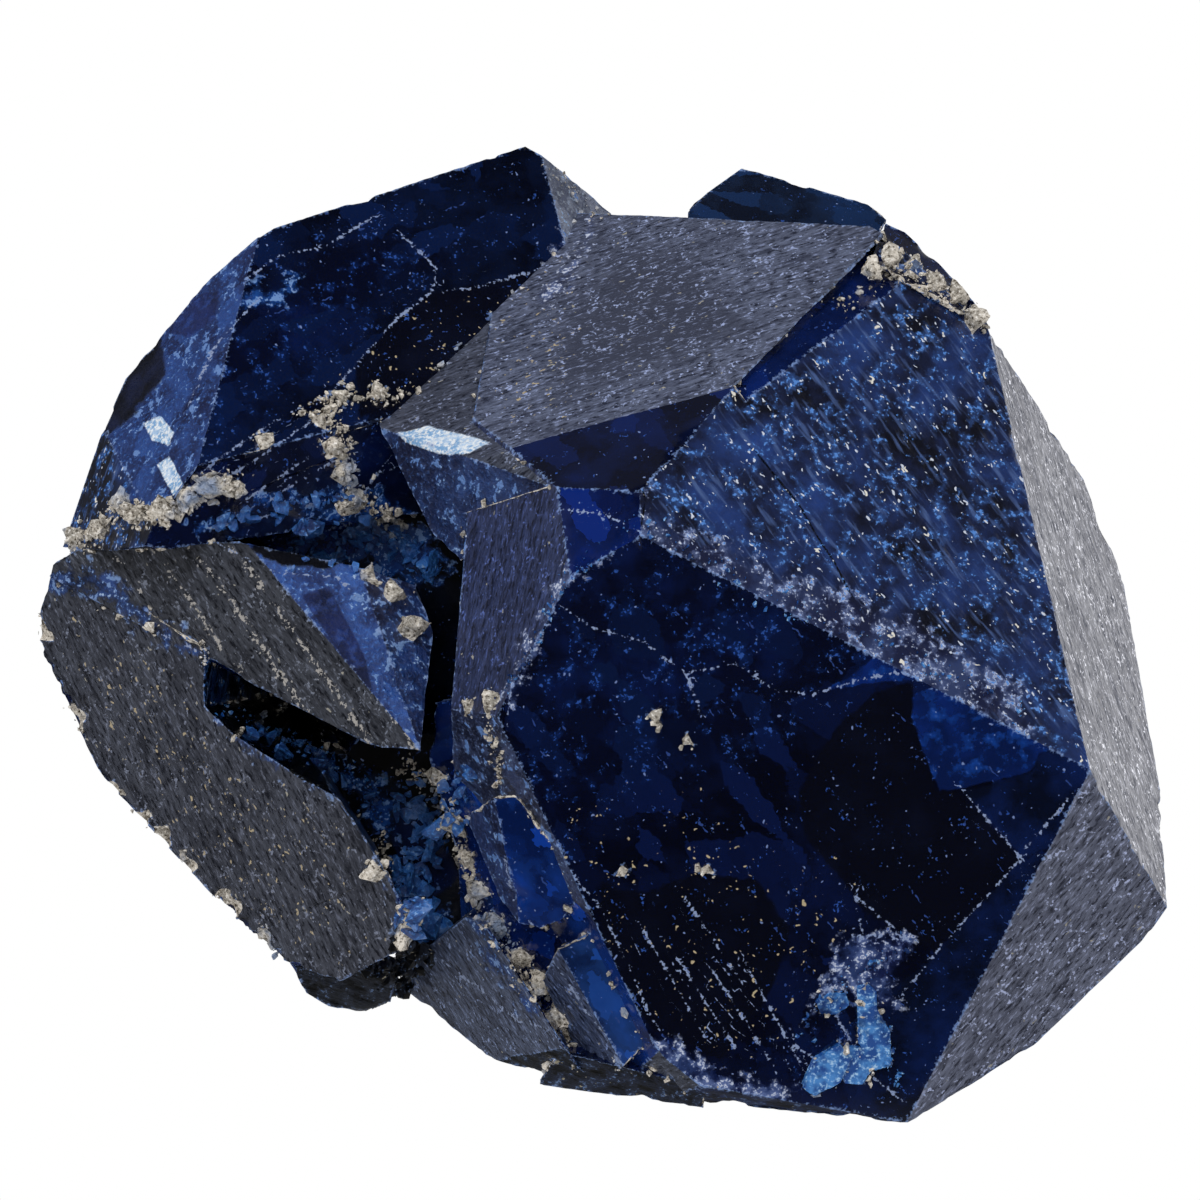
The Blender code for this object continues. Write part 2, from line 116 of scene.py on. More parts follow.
def split_long_edges(places, corners, faces, longest):
    """Halves the edges that are longer than their faces allow, until none is."""
    while True:
        sides = np.sort(corners[:, [[0, 1], [1, 2], [2, 0]]].reshape(-1, 2), axis=1)
        keys, first, back = np.unique(
            sides[:, 0] * len(places) + sides[:, 1], return_index=True, return_inverse=True)
        ends = sides[first]
        limit = np.full(len(keys), np.inf)
        np.minimum.at(limit, back, np.repeat(longest[faces], 3))
        long = np.linalg.norm(places[ends[:, 0]] - places[ends[:, 1]], axis=1) > limit
        if not long.any():
            return places, corners, faces
        middle = np.full(len(keys), -1)
        middle[long] = len(places) + np.arange(long.sum())
        places = np.vstack([places, places[ends[long]].mean(axis=1)])
        cut = middle[back].reshape(-1, 3)
        count = (cut >= 0).sum(axis=1)
        turn = np.where(count == 1, (cut >= 0).argmax(axis=1), 0)
        turn = np.where(count == 2, ((cut < 0).argmax(axis=1) + 1) % 3, turn)
        order = (turn[:, None] + np.arange(3)) % 3
        corners = np.take_along_axis(corners, order, axis=1)
        cut = np.take_along_axis(cut, order, axis=1)
        a, b, c = corners.T
        ab, bc, ca = cut.T
        short = (np.linalg.norm(places[a] - places[bc], axis=1)
                 < np.linalg.norm(places[ab] - places[c], axis=1))
        new = [(count == 0, (a, b, c)),
               (count == 1, (a, ab, c)), (count == 1, (ab, b, c)),
               (count == 2, (ab, b, bc)),
               ((count == 2) & short, (a, ab, bc)), ((count == 2) & short, (a, bc, c)),
               ((count == 2) & ~short, (a, ab, c)), ((count == 2) & ~short, (ab, bc, c)),
               (count == 3, (a, ab, ca)), (count == 3, (ab, b, bc)), (count == 3, (ca, bc, c)),
               (count == 3, (ab, bc, ca))]
        corners = np.vstack([np.stack(shape, axis=1)[which] for which, shape in new])
        faces = np.concatenate([faces[which] for which, _ in new])


PRIMES = (73856093, 19349663, 83492791)
SEED_PRIME = 50331653
STIRRER = 1274126177
SIXTEEN_BITS = 65535


def lumps(places, size, seed):
    """Smooth random field from -1 to 1 over places, with lumps of this size."""
    grid = places / size
    low = np.floor(grid).astype(np.int64)
    part = grid - low
    part = part * part * (3 - 2 * part)
    total = np.zeros(len(places))
    for x in (0, 1):
        for y in (0, 1):
            for z in (0, 1):
                mixed = (low[:, 0] + x) * PRIMES[0] ^ (low[:, 1] + y) * PRIMES[1]
                mixed = mixed ^ (low[:, 2] + z) * PRIMES[2] ^ seed * SEED_PRIME
                mixed = (mixed ^ (mixed >> 13)) * STIRRER
                value = ((mixed ^ (mixed >> 16)) & SIXTEEN_BITS) / (SIXTEEN_BITS / 2) - 1
                weight = np.abs(1 - x - part[:, 0]) * np.abs(1 - y - part[:, 1]) * np.abs(1 - z - part[:, 2])
                total += value * weight
    return total


# Finish of each face: where it is seen, what it is, which way its growth lines run, and its own colour,
# which on satin faces also holds a painted sheen, and on the recess and core faces painted shade. A
# satin face is etched and reflects softly, a glassy one is fresh cleavage, a frosted one is bruised.
# Small faces are crumbs of matrix, or pale crystals at the foot, and faces that aren't named take the
# hidden finishes in turn.
def from_hex(colour):
    """Linear colour of an sRGB hex value."""
    parts = [int(colour[i:i + 2], 16) / 255 for i in (1, 3, 5)]
    return [p / 12.92 if p <= 0.04045 else ((p + 0.055) / 1.055) ** 2.4 for p in parts] + [1.0]


SATIN, GLASSY, FLECKED, FROSTED, STRIATED, MATRIX, PALE = range(7)
FACES = {
    # painted sheen: the satin tones are partly the etched faces' own grey and partly sheen painted in, most
    # of all the pale grey of the right face, which stands for the bright floor it mirrors
    "top": ((2.65, 6.84), SATIN, (1.0, 0.25), "#4a526c"),
    "top_end": ((-3.4, 4.35), SATIN, (1.0, 0.35), "#3c4256"),
    "right": ((10.8, -1.1), SATIN, (-0.25, 1.0), "#9a9ba6"),
    "lower_right": ((9.96, -7.57), SATIN, (0.55, 0.8), "#555b73"),
    "chest": ((-2.14, 0.3), SATIN, (0.1, 1.0), "#222e56"),
    "shoulder": ((-3.33, 2.58), FROSTED, (-0.7, -0.7), "#1c3870"),
    "slab_grey": ((-8.1, -0.53), SATIN, (0.64, -0.77), "#343844"),
    "block_grey": ((-8.5, -4.15), SATIN, (0.5, -0.85), "#383c4a"),
    "low_grey": ((-2.7, -8.65), SATIN, (0.7, -0.6), "#404a64"),
    "plate_strip": ((-0.55, -9.05), SATIN, (0.5, -0.8), "#3c4868"),
    "sliver_bevel": ((-2.43, -5.5), SATIN, (0.4, -0.9), "#38446c"),
    "throat": ((-2.3, -3.84), FROSTED, (0.3, -0.95), "#303e68"),
    "front": ((3.8, -4.9), GLASSY, (0.6, -0.8), "#040c2a"),
    "upper_bevel": ((0.38, 3.47), GLASSY, (0.5, -0.8), "#051238"),
    "lower_bevel": ((-0.13, 1.77), GLASSY, (0.5, -0.8), "#04184e"),
    "under_top": ((4.8, 6.1), GLASSY, (1.0, 0.6), "#061848"),
    "upper": ((-4.97, 6.73), GLASSY, (0.8, 0.45), "#05102c"),
    "sliver": ((-1.57, -5.83), GLASSY, (0.5, -0.8), "#0a2c70"),
    "plate": ((-0.73, -7.4), GLASSY, (0.5, -0.8), "#102c6c"),
    "plate_front": ((-0.02, -8.74), GLASSY, (0.5, -0.8), "#16346c"),
    "behind": ((3.93, 8.85), GLASSY, (1.0, -0.3), "#10203c"),
    "upper_right": ((6.23, 2.03), FLECKED, (0.5, -0.85), "#0e1d46"),
    "lobe": ((-9.4, 4.72), FROSTED, (0.4, -0.9), "#0e3c84"),
    "slab_blue": ((-5.76, -0.38), FROSTED, (0.6, -0.8), "#1a4a98"),
    "slab_far": ((-4.35, -0.95), FROSTED, (0.6, -0.8), "#102c64"),
    "seam": ((-2.63, -5.54), FROSTED, (0.4, -0.9), "#24386c"),
    "far_rim": ((6.9, 7.46), FROSTED, (0.7, -0.7), "#4c6088"),
    "crown": ((-0.73, 8.94), FROSTED, (0.4, -0.9), "#646c84"),
    "temple": ((-10.93, 2.19), FLECKED, (0.4, 0.9), "#141a2c"),
    "under_lobe": ((-6.9, 2.45), GLASSY, (0.8, 0.5), "#050d2c"),
    "ledge": ((-5.5, -8.52), STRIATED, (0.9, -0.4), "#1c2230"),
    "toe_band": ((0.33, -10.62), STRIATED, (1.0, -0.2), "#141c30"),
    "toe": ((3.71, -11.08), STRIATED, (1.0, -0.2), "#142040"),
    "low_rim": ((-1.32, -10.13), STRIATED, (1.0, -0.2), "#182030"),
    # painted shade: the recess and the core, set back in the hollows, are near black for the shade that lies
    # there
    "recess": ((-3.75, -6.18), GLASSY, (0.4, -0.9), "#05070e"),
    "core": ((-3.53, -1.1), GLASSY, (0.8, 0.5), "#04060f"),
    "sprout_one": ((5.87, -9.78), PALE, (0.4, -0.9), "#4c84c8"),
    "sprout_two": ((4.95, -10.38), PALE, (0.4, -0.9), "#4c84c8"),
}
SHADED_SLIT = [(-7.22, -2.91), (-8.3, -1.85), (-6.45, -3.36), (-7.93, -2.43), (-5.56, -4.59), (-6.0, -3.02)]
SMALL_FACE = 0.45
SPROUTS = (4.0, 7.4, -11.4, -8.2)
HIDDEN = [(SATIN, "#3c4254"), (GLASSY, "#05123a"), (FLECKED, "#0e1c46"), (GLASSY, "#061848")]
finish_of = np.empty(len(planes), int)
tone_of = np.empty((len(planes), 4))
run_of = np.empty((len(planes), 3))
for n, (normal, _, middle) in enumerate(planes):
    finish, tone = HIDDEN[n % len(HIDDEN)]
    if plane_areas[n] < SMALL_FACE:
        right, up = as_seen(np.array([middle]))[0]
        sprouts = SPROUTS[0] < right < SPROUTS[1] and SPROUTS[2] < up < SPROUTS[3]
        finish, tone = (PALE, "#4c8cd0") if sprouts else (MATRIX, "#b8ac94")
    finish_of[n] = finish
    tone_of[n] = from_hex(tone)
    run_of[n] = normal.orthogonal()
shown = {}
for name, (place, finish, run, tone) in FACES.items():
    _, face = seen_at(*place)
    shown[name] = face
    finish_of[face] = finish
    tone_of[face] = from_hex(tone)
    run_of[face] = RIGHTWARD * run[0] + UPWARD * run[1]
for place in SHADED_SLIT:
    tone_of[seen_at(*place)[1]] = from_hex("#05070c")
run_of -= plane_normals * (run_of * plane_normals).sum(axis=1, keepdims=True)
run_of /= np.linalg.norm(run_of, axis=1, keepdims=True)
across_of = np.cross(plane_normals, run_of)

# Fine surface: the rough stone with its faces split small, in mm, smallest where a crumb of matrix is, so
# that wear and relief can be cut into it. Ridges are the outer edges that wear, valleys the inner corners.
FINE = 0.15
COARSE = 0.3
CRUMB_FINENESS = 0.6
facing_camera = ((EYE - plane_middles) * plane_normals).sum(axis=1) > 0
longest = np.where(facing_camera, FINE, COARSE)
longest[plane_areas < SMALL_FACE] = CRUMB_FINENESS * FINE
places = np.array([v.co for v in rough.verts])
corners = np.array([[v.index for v in flat.verts] for flat in rough.faces])
faces = np.array(face_of)
EDGE_STEP = 0.05
BLUNT_EDGE = math.radians(8)
ridge = {"place": [], "outward": [], "faces": [], "room": []}
valley = {"place": [], "outward": []}
for edge in rough.edges:
    if len(edge.link_faces) != 2:
        continue
    angle = edge.calc_face_angle_signed(0)
    if abs(angle) < BLUNT_EDGE:
        continue
    one, other = edge.verts[0].co, edge.verts[1].co
    outward = (edge.link_faces[0].normal + edge.link_faces[1].normal).normalized()
    pair = [flat[number] for flat in edge.link_faces]
    steps = max(2, int((other - one).length / EDGE_STEP))
    for step in range(steps + 1):
        place = one.lerp(other, step / steps)
        if angle > 0:
            ridge["place"].append(place)
            ridge["outward"].append(outward)
            ridge["faces"].append(pair)
            ridge["room"].append(min(math.sqrt(plane_areas[n]) for n in pair))
        else:
            valley["place"].append(place)
            valley["outward"].append(outward)
ridge = {name: np.array(values) for name, values in ridge.items()}
valley = {name: np.array(values) for name, values in valley.items()}
rough.free()
places, corners, faces = split_long_edges(places, corners, faces, longest)

ridge_tree = KDTree(len(ridge["place"]))
for index, place in enumerate(ridge["place"]):
    ridge_tree.insert(place, index)
ridge_tree.balance()
found = [ridge_tree.find(place)[1:] for place in places]
nearest = np.array([index for index, _ in found])
to_ridge = np.array([distance for _, distance in found])

vertex_face = np.zeros(len(places), int)
vertex_face[corners.reshape(-1)] = np.repeat(faces, 3)
flat_normals = np.cross(places[corners[:, 1]] - places[corners[:, 0]],
                        places[corners[:, 2]] - places[corners[:, 0]])
normals = np.zeros_like(places)
for corner in range(3):
    for axis in range(3):
        normals[:, axis] += np.bincount(corners[:, corner], flat_normals[:, axis], len(places))
normals /= np.maximum(np.linalg.norm(normals, axis=1, keepdims=True), 1e-12)

# Growth lines and etched grain: for each finish, how deep its lines, its broad waves and its lumps are, in
# mm. Everything is cut inwards, so that the stone keeps its size.
RELIEF = {
    SATIN: (0.014, 0.03, 0.0),
    GLASSY: (0.0, 0.012, 0.0),
    FLECKED: (0.012, 0.0, 0.01),
    FROSTED: (0.0, 0.0, 0.035),
    STRIATED: (0.04, 0.0, 0.02),
    MATRIX: (0.0, 0.0, 0.06),
    PALE: (0.0, 0.0, 0.06),
}
SURFACE_DROP = 0.03
FACE_SHIFT = 3.7
grain = np.stack([(places * run_of[vertex_face]).sum(axis=1),
                  (places * across_of[vertex_face]).sum(axis=1),
                  vertex_face * FACE_SHIFT], axis=1)
long_lines = lumps(grain / [1.6, 0.16, 1], 1, 11) + 0.6 * lumps(grain / [0.6, 0.11, 1], 1, 12)
broad_waves = lumps(places, 2.4, 13)
rough_lumps = lumps(places, 0.35, 14) + 0.6 * lumps(places, 0.17, 15)
line_depth, wave_depth, lump_depth = np.array(list(RELIEF.values()))[finish_of[vertex_face]].T
relief = line_depth * long_lines + wave_depth * broad_waves + lump_depth * rough_lumps
moved = places + normals * (np.minimum(relief, SURFACE_DROP) - SURFACE_DROP)[:, None]

# Worn edges: a narrow bevel everywhere, with deeper chips here and there, and a row of small scallops
# down the left block's lower edge. Lengths are in mm, and no edge wears by more than a share of its face.
WEAR = 0.025
NICK = 0.015
CHIP = 0.16
CHIP_START = 0.25
WORN_SHARE = 0.12
WORN_SHARE_OF_SMALL = 0.3
DEEPEST_WEAR = 1.5
AT_RIDGE = 1e-3
SCALLOP_LINE = np.array([(-12.5, -1.0), (-6.6, -8.2)])
SCALLOP_STEP = 0.45
SCALLOP_DEPTH = 0.11
SCALLOP_REACH = 0.45
ridge_points = ridge["place"][nearest]
outward = ridge["outward"][nearest]
chipping = lumps(ridge_points, 0.9, 21) + 0.5 * lumps(ridge_points, 0.3, 22)
chipping = np.clip(chipping - CHIP_START, 0, 1)
blunt = WEAR + CHIP * chipping + NICK * lumps(places, 0.12, 23)
worn_share = np.where(plane_areas[vertex_face] < SMALL_FACE, WORN_SHARE_OF_SMALL, WORN_SHARE)
blunt = np.minimum(blunt, worn_share * ridge["room"][nearest])
scallop_way = SCALLOP_LINE[1] - SCALLOP_LINE[0]
scallop_length = math.hypot(*scallop_way)
from_start = as_seen(ridge_points) - SCALLOP_LINE[0]
down_line = from_start @ scallop_way / scallop_length
off_line = np.abs(from_start @ [scallop_way[1], -scallop_way[0]]) / scallop_length
on_line = (off_line < SCALLOP_REACH) & (down_line > 0) & (down_line < scallop_length)
waves = 0.5 + 0.5 * np.sin(math.tau * down_line / SCALLOP_STEP + 2 * lumps(ridge_points, 1.3, 24))
blunt += on_line * SCALLOP_DEPTH * waves
own = (ridge["faces"][nearest] == vertex_face[:, None]).any(axis=1) | (to_ridge < AT_RIDGE)
above = ((moved - ridge_points) * outward).sum(axis=1) + blunt
moved -= outward * (np.clip(above, 0, DEEPEST_WEAR * blunt) * own)[:, None]
low, high = (np.array(corner) / MM for corner in cad_box)
places = np.clip(moved, low, high)

# Marks on the stone: clear, dark and bruised zones, bright blue patches that are painted reflection from
# cleavage planes inside the crystal, and patches of dust, each inside an outline, and healed or open
# cracks along a line, right and up in mm as seen. Each mark is how far inside its outline, or how far from
# its line, a corner of the surface is. The last one, the edge, is how far the next ridge is; the pale
# lines it draws along the ridges are partly wear and partly painted highlight.
MARKS = ("haze", "inner_reflection", "dusk", "deep", "frost", "lilac", "pale", "dust", "rows", "vein", "crack", "edge")
LINE_MARKS = ("vein", "crack")
FAR = 9.0
LINE_REACH = 0.3


def from_stretch(spots, start, end):
    """Distance of spots from a stretch of line, and on which side of it they are."""
    way = np.array(end) - start
    offset = spots - start
    along = np.clip(offset @ way / (way @ way), 0, 1)
    side = np.sign(way[0] * offset[:, 1] - way[1] * offset[:, 0])
    return np.linalg.norm(offset - along[:, None] * way, axis=1), side


def depth_inside(spots, outline):
    """How far spots are inside an outline, negative outside it."""
    inside = np.zeros(len(spots), bool)
    depth = np.full(len(spots), FAR)
    for start, end in zip(outline, outline[1:] + outline[:1]):
        depth = np.minimum(depth, from_stretch(spots, start, end)[0])
        crosses = (start[1] > spots[:, 1]) != (end[1] > spots[:, 1])
        rise = (end[1] - start[1]) or 1e-9
        reach = (end[0] - start[0]) * (spots[:, 1] - start[1]) / rise + start[0]
        inside ^= crosses & (spots[:, 0] < reach)
    return np.where(inside, depth, -depth)


def beside_line(spots, line):
    """How far spots are to the left of a line, negative to its right, and FAR away from it."""
    offset = np.full(len(spots), FAR)
    for start, end in zip(line, line[1:]):
        distance, side = from_stretch(spots, start, end)
        offset = np.where(distance < np.abs(offset), distance * side, offset)
    return np.where(np.abs(offset) < LINE_REACH, offset, FAR)


spots = as_seen(places)
grain_of_corners = np.stack([
    (places[corners] * run_of[faces][:, None]).sum(axis=2),
    (places[corners] * across_of[faces][:, None]).sum(axis=2),
    np.repeat(faces[:, None] * FACE_SHIFT, 3, axis=1)], axis=2)


def add(tree, kind, inputs=(), out=0, **settings):
    """Adds a node with its settings, values and links, and gives one of its outputs."""
    made = tree.nodes.new(kind)
    for name, value in settings.items():
        setattr(made, name, value)
    for socket, value in inputs:
        if isinstance(value, bpy.types.NodeSocket):
            tree.links.new(value, made.inputs[socket])
        else:
            made.inputs[socket].default_value = value
    return made.outputs[out] if made.outputs else made


def layered(tree, colour, layers):
    """Colour with each layer's own colour over it where its field goes from low to high."""
    for field, low, high, paint in layers:
        share = add(tree, "ShaderNodeMapRange", [("Value", field), ("From Min", low), ("From Max", high)])
        colour = add(tree, "ShaderNodeMix", [
            (0, share), (6, colour), (7, from_hex(paint) if isinstance(paint, str) else paint)],
            2, data_type="RGBA")
    return colour


CELL_PER_FLECK = 1.6


def flecks(tree, field, coordinates, size, share, stretch=(1.0, 1.0, 1.0)):
    """Field above 0 inside uneven flecks up to this many mm across, in a share of all places for one."""
    spread = [1 / (size * times * CELL_PER_FLECK) for times in stretch]
    cells = add(tree, "ShaderNodeVectorMath", [(0, field[coordinates]), (1, spread)], operation="MULTIPLY")
    cells = add(tree, "ShaderNodeVectorMath", [(0, field["wobble"]), (1, (1.2, 1.2, 1.2)), (2, cells)],
                operation="MULTIPLY_ADD")
    distance = add(tree, "ShaderNodeTexVoronoi", [("Vector", cells), ("Scale", 1.0)], "Distance")
    luck = add(tree, "ShaderNodeSeparateColor", [(0, distance.node.outputs["Color"])])
    crowd = add(tree, "ShaderNodeMapRange", [
        ("Value", field["crumble"]), ("From Min", 0.4), ("From Max", 0.6), ("To Min", 1 - 0.2 * share),
        ("To Max", 1 - 1.7 * share)])
    reach = add(tree, "ShaderNodeMapRange", [
        ("Value", luck), ("From Min", crowd), ("From Max", 1.0), ("To Min", 0.0), ("To Max", 0.36)])
    return add(tree, "ShaderNodeMath", [(0, reach), (1, distance)], operation="SUBTRACT")


# Clouds in the stone are about 1.4 mm across, crumbled spots 0.3 mm and fine specks 0.08 mm. Growth lines
# are about 0.17 mm apart and the dashes on them 0.07 mm, and cleavage blocks are 0.5 to 0.9 mm.
BOLEITE_IOR = 2.05
GYPSUM_IOR = 1.52


def stone_material(name, roughness, ior=BOLEITE_IOR):
    """Material of the stone, its node tree, and the fields that its colours follow, in mm."""
    made = bpy.data.materials.new(name)
    made.use_nodes = True
    tree = made.node_tree
    shader = tree.nodes["Principled BSDF"]
    shader.inputs["IOR"].default_value = ior
    shader.inputs["Roughness"].default_value = roughness
    metres = add(tree, "ShaderNodeTexCoord", (), "Object")
    field = {"place": add(tree, "ShaderNodeVectorMath", [(0, metres), ("Scale", 1 / MM)], operation="SCALE")}
    field["grain"] = add(tree, "ShaderNodeAttribute", (), "Vector", attribute_name="grain")
    field["tone"] = add(tree, "ShaderNodeAttribute", (), "Color", attribute_name="tone")
    for mark in MARKS:
        field[mark] = add(tree, "ShaderNodeAttribute", (), "Fac", attribute_name=mark)
    for cloud, per_mm, detail in (
            ("cloud", 0.7, 4), ("crumble", 3.0, 3), ("fine", 12.0, 2), ("wobble", 9.0, 0)):
        field[cloud] = add(tree, "ShaderNodeTexNoise", [
            ("Vector", field["place"]), ("Scale", per_mm), ("Detail", detail), ("Roughness", 0.62)])
    field["wobble"] = field["wobble"].node.outputs["Color"]
    for lines, per_mm in (("lines", (1.0, 6.0, 1.0)), ("dashes", (4.6, 14.0, 1.0))):
        drawn = add(tree, "ShaderNodeVectorMath", [(0, field["grain"]), (1, per_mm)], operation="MULTIPLY")
        field[lines] = add(tree, "ShaderNodeTexNoise", [
            ("Vector", drawn), ("Scale", 1.0), ("Detail", 2), ("Roughness", 0.6)])
    drawn = add(tree, "ShaderNodeVectorMath", [(0, field["grain"]), (1, (1.1, 1.9, 1.0))],
                operation="MULTIPLY")
    drawn = add(tree, "ShaderNodeVectorMath", [(0, field["wobble"]), (1, (0.25, 0.25, 0.0)), (2, drawn)],
                operation="MULTIPLY_ADD")
    blocks = add(tree, "ShaderNodeTexVoronoi", [("Vector", drawn), ("Scale", 1.0)], "Color")
    field["blocks"] = add(tree, "ShaderNodeSeparateColor", [(0, blocks)])
    between = add(tree, "ShaderNodeTexVoronoi", [("Vector", drawn), ("Scale", 1.0)], "Distance",
                  feature="DISTANCE_TO_EDGE")
    gap = add(tree, "ShaderNodeMath", [(0, field["crumble"]), (1, -1.0), (2, 0.56)],
              operation="MULTIPLY_ADD")
    field["between"] = add(tree, "ShaderNodeMath", [(0, between), (1, gap)], operation="ADD")
    # bruise: a spotty field for bruised spots; on satin faces it draws painted glints
    field["bruise"] = add(tree, "ShaderNodeMath", [(0, field["crumble"]), (1, field["fine"])],
                          operation="MULTIPLY")
    field["ragged"] = add(tree, "ShaderNodeMath", [(0, field["crumble"]), (1, 0.5)], operation="SUBTRACT")
    for mark, share in (("lilac", 1.2), ("frost", 1.6), ("pale", 0.12), ("inner_reflection", 0.15), ("dusk", 0.3),
                        ("deep", 0.3), ("dust", 5.0), ("rows", 5.0)):
        field[mark] = add(tree, "ShaderNodeMath", [
            (0, field["ragged"]), (1, share), (2, field[mark])], operation="MULTIPLY_ADD")
    broken = add(tree, "ShaderNodeMath", [(0, field["fine"]), (1, field["ragged"])], operation="ADD")
    for mark, gaps in (("vein", 0.24), ("crack", 0.06), ("edge", 0.24)):
        middle = add(tree, "ShaderNodeMath", [(0, field[mark])], operation="ABSOLUTE")
        shift = add(tree, "ShaderNodeMath", [(0, broken), (1, 0.58)], operation="SUBTRACT")
        field[mark] = add(tree, "ShaderNodeMath", [
            (0, shift), (1, -gaps), (2, middle)], operation="MULTIPLY_ADD")
    return made, tree, field


def scaled_tone(tree, field, scale):
    """The face's own tone made lighter or darker."""
    return add(tree, "ShaderNodeVectorMath", [(0, field["tone"]), (1, scale)], operation="MULTIPLY")


PAINTS = {
    "dusk": (-0.03, 0.03, "#040c24", [("cloud", 0.42, 0.66, "#081c4e")]),
    "deep": (-0.03, 0.03, "#05081a", [("cloud", 0.5, 0.75, "#0a1026")]),
    # painted reflection: bright royal-blue patches where cleavage planes inside the crystal mirror the light
    "inner_reflection": (-0.02, 0.02, "#04184a", [("cloud", 0.42, 0.6, "#06246a"), ("crumble", 0.5, 0.72, "#0e4096")]),
    "frost": (0.0, 0.25, "#081838", [
        ("blocks", 0.1, 0.9, "#14387c"), ("crumble", 0.46, 0.7, "#1c50a0"), ("fine", 0.58, 0.74, "#4c80c8"),
        ("bruise", 0.35, 0.43, "#a0bce0"), ("between", 0.03, 0.0, "#6c90c8")]),
    "lilac": (0.0, 0.25, "#141e48", [
        ("cloud", 0.45, 0.6, "#2a3c6c"), ("crumble", 0.46, 0.6, "#586a9c"),
        ("bruise", 0.3, 0.38, "#c8d0e4")]),
    "pale": (0.0, 0.03, "#7cacdc", [("crumble", 0.4, 0.56, "#bcd4f0"), ("fine", 0.46, 0.6, "#ecf2f8")]),
    "vein": (0.028, 0.0, "#8c9cc0", []),
    # pale lines along the ridges: partly wear, partly painted highlight where the edges catch the light
    "edge": (0.06, -0.02, "#7c98cc", []),
    "crack": (0.035, 0.015, "#020203", []),
}


def painted(tree, colour, field, marks):
    """Colour with marks over it: clear and bruised zones, bright blue patches of painted reflection,
    healed and open cracks, and pale ridge lines that are partly wear and partly painted highlight.
    """
    for mark in marks:
        low, high, ground, over = PAINTS[mark]
        paint = layered(tree, from_hex(ground), [(field[cloud], *ramp) for cloud, *ramp in over])
        colour = layered(tree, colour, [(field[mark], low, high, paint)])
    return colour


materials = {}


def keep_material(finish, made, colour, height=None, depth=0.0, strength=1.0):
    """Gives a stone material its colour and a relief of this depth in mm, and keeps it for its finish."""
    tree = made.node_tree
    shader = tree.nodes["Principled BSDF"]
    tree.links.new(colour, shader.inputs["Base Color"])
    if height is not None:
        bump = add(tree, "ShaderNodeBump", [
            ("Strength", strength), ("Distance", depth * MM), ("Height", height)])
        tree.links.new(bump, shader.inputs["Normal"])
    materials[finish] = made


# Satin growth face: etched by water, with fine pits and raised lines all one way. A soft grey sheen lies
# over the blue, partly reflected and partly painted into the face tones, and bright specks on it are
# painted glints. Where dust lies, it has caught on the raised lines in rows of dots.
made, tree, field = stone_material("satin_growth_face", 0.42)
ROW_SPACING = 0.42
ROW_REACH = -0.33
colour = layered(tree, field["tone"], [
    (field["cloud"], 0.42, 0.62, scaled_tone(tree, field, (1.35, 1.35, 1.3))),
    (field["lines"], 0.52, 0.72, scaled_tone(tree, field, (1.7, 1.7, 1.6))),
    (field["lines"], 0.46, 0.34, scaled_tone(tree, field, (0.6, 0.62, 0.68))),
    (field["dashes"], 0.46, 0.34, scaled_tone(tree, field, (0.16, 0.2, 0.32))),
    (field["haze"], -0.3, 0.5, scaled_tone(tree, field, (0.62, 0.62, 0.66))),
    (field["dashes"], 0.58, 0.7, scaled_tone(tree, field, (3.0, 3.0, 2.9))),
    # painted glints: bright specks on the satin faces
    (field["bruise"], 0.34, 0.42, scaled_tone(tree, field, (5.0, 5.0, 4.7))),
    (flecks(tree, field, "grain", 0.06, 0.1, (2.0, 1.0, 1.0)), 0.0, 0.1, "#a09c90")])
rows = add(tree, "ShaderNodeSeparateXYZ", [(0, field["grain"])], "Y")
rows = add(tree, "ShaderNodeMath", [(0, field["crumble"]), (1, 0.5), (2, rows)], operation="MULTIPLY_ADD")
rows = add(tree, "ShaderNodeMath", [(0, rows), (1, ROW_SPACING)], operation="PINGPONG")
rows = add(tree, "ShaderNodeMath", [(0, field["fine"]), (1, -0.7), (2, rows)], operation="MULTIPLY_ADD")
rows = add(tree, "ShaderNodeMath", [(0, ROW_REACH), (1, rows)], operation="SUBTRACT")
rows = add(tree, "ShaderNodeMath", [(0, rows), (1, field["rows"])], operation="MINIMUM")
gold = flecks(tree, field, "grain", 0.08, 0.75, (1.6, 1.0, 1.0))
gold = add(tree, "ShaderNodeMath", [(0, gold), (1, field["dust"])], operation="MINIMUM")
colour = painted(tree, colour, field, ("dusk", "frost", "lilac", "pale", "vein", "edge"))
colour = layered(tree, colour, [(rows, 0.0, 0.04, "#a8a4a0"), (gold, 0.0, 0.1, "#b4a484")])
height = add(tree, "ShaderNodeMath", [(0, field["lines"]), (1, 0.7), (2, field["dashes"])],
             operation="MULTIPLY_ADD")
keep_material(SATIN, made, colour, height, 0.05)

# Glassy cleavage face: smooth as cut glass, so what shows is the blue inside, with clouds of tiny
# inclusions, healed cracks and grains of dust.
made, tree, field = stone_material("glassy_cleavage_face", 0.1)
healed = flecks(tree, field, "grain", 0.05, 0.12, (7.0, 1.0, 1.0))
hazy = layered(tree, from_hex("#030926"), [
    (field["cloud"], 0.48, 0.7, "#051748"), (field["blocks"], 0.6, 0.95, "#05163e"),
    (field["crumble"], 0.54, 0.72, "#0a2660"), (field["bruise"], 0.37, 0.44, "#2c58a8")])
colour = layered(tree, field["tone"], [
    (field["cloud"], 0.54, 0.42, scaled_tone(tree, field, (0.4, 0.4, 0.45))),
    (field["cloud"], 0.56, 0.7, scaled_tone(tree, field, (1.2, 1.6, 1.9))),
    (field["blocks"], 0.65, 0.95, scaled_tone(tree, field, (1.3, 1.9, 2.2))),
    (field["haze"], -0.4, 1.4, hazy)])
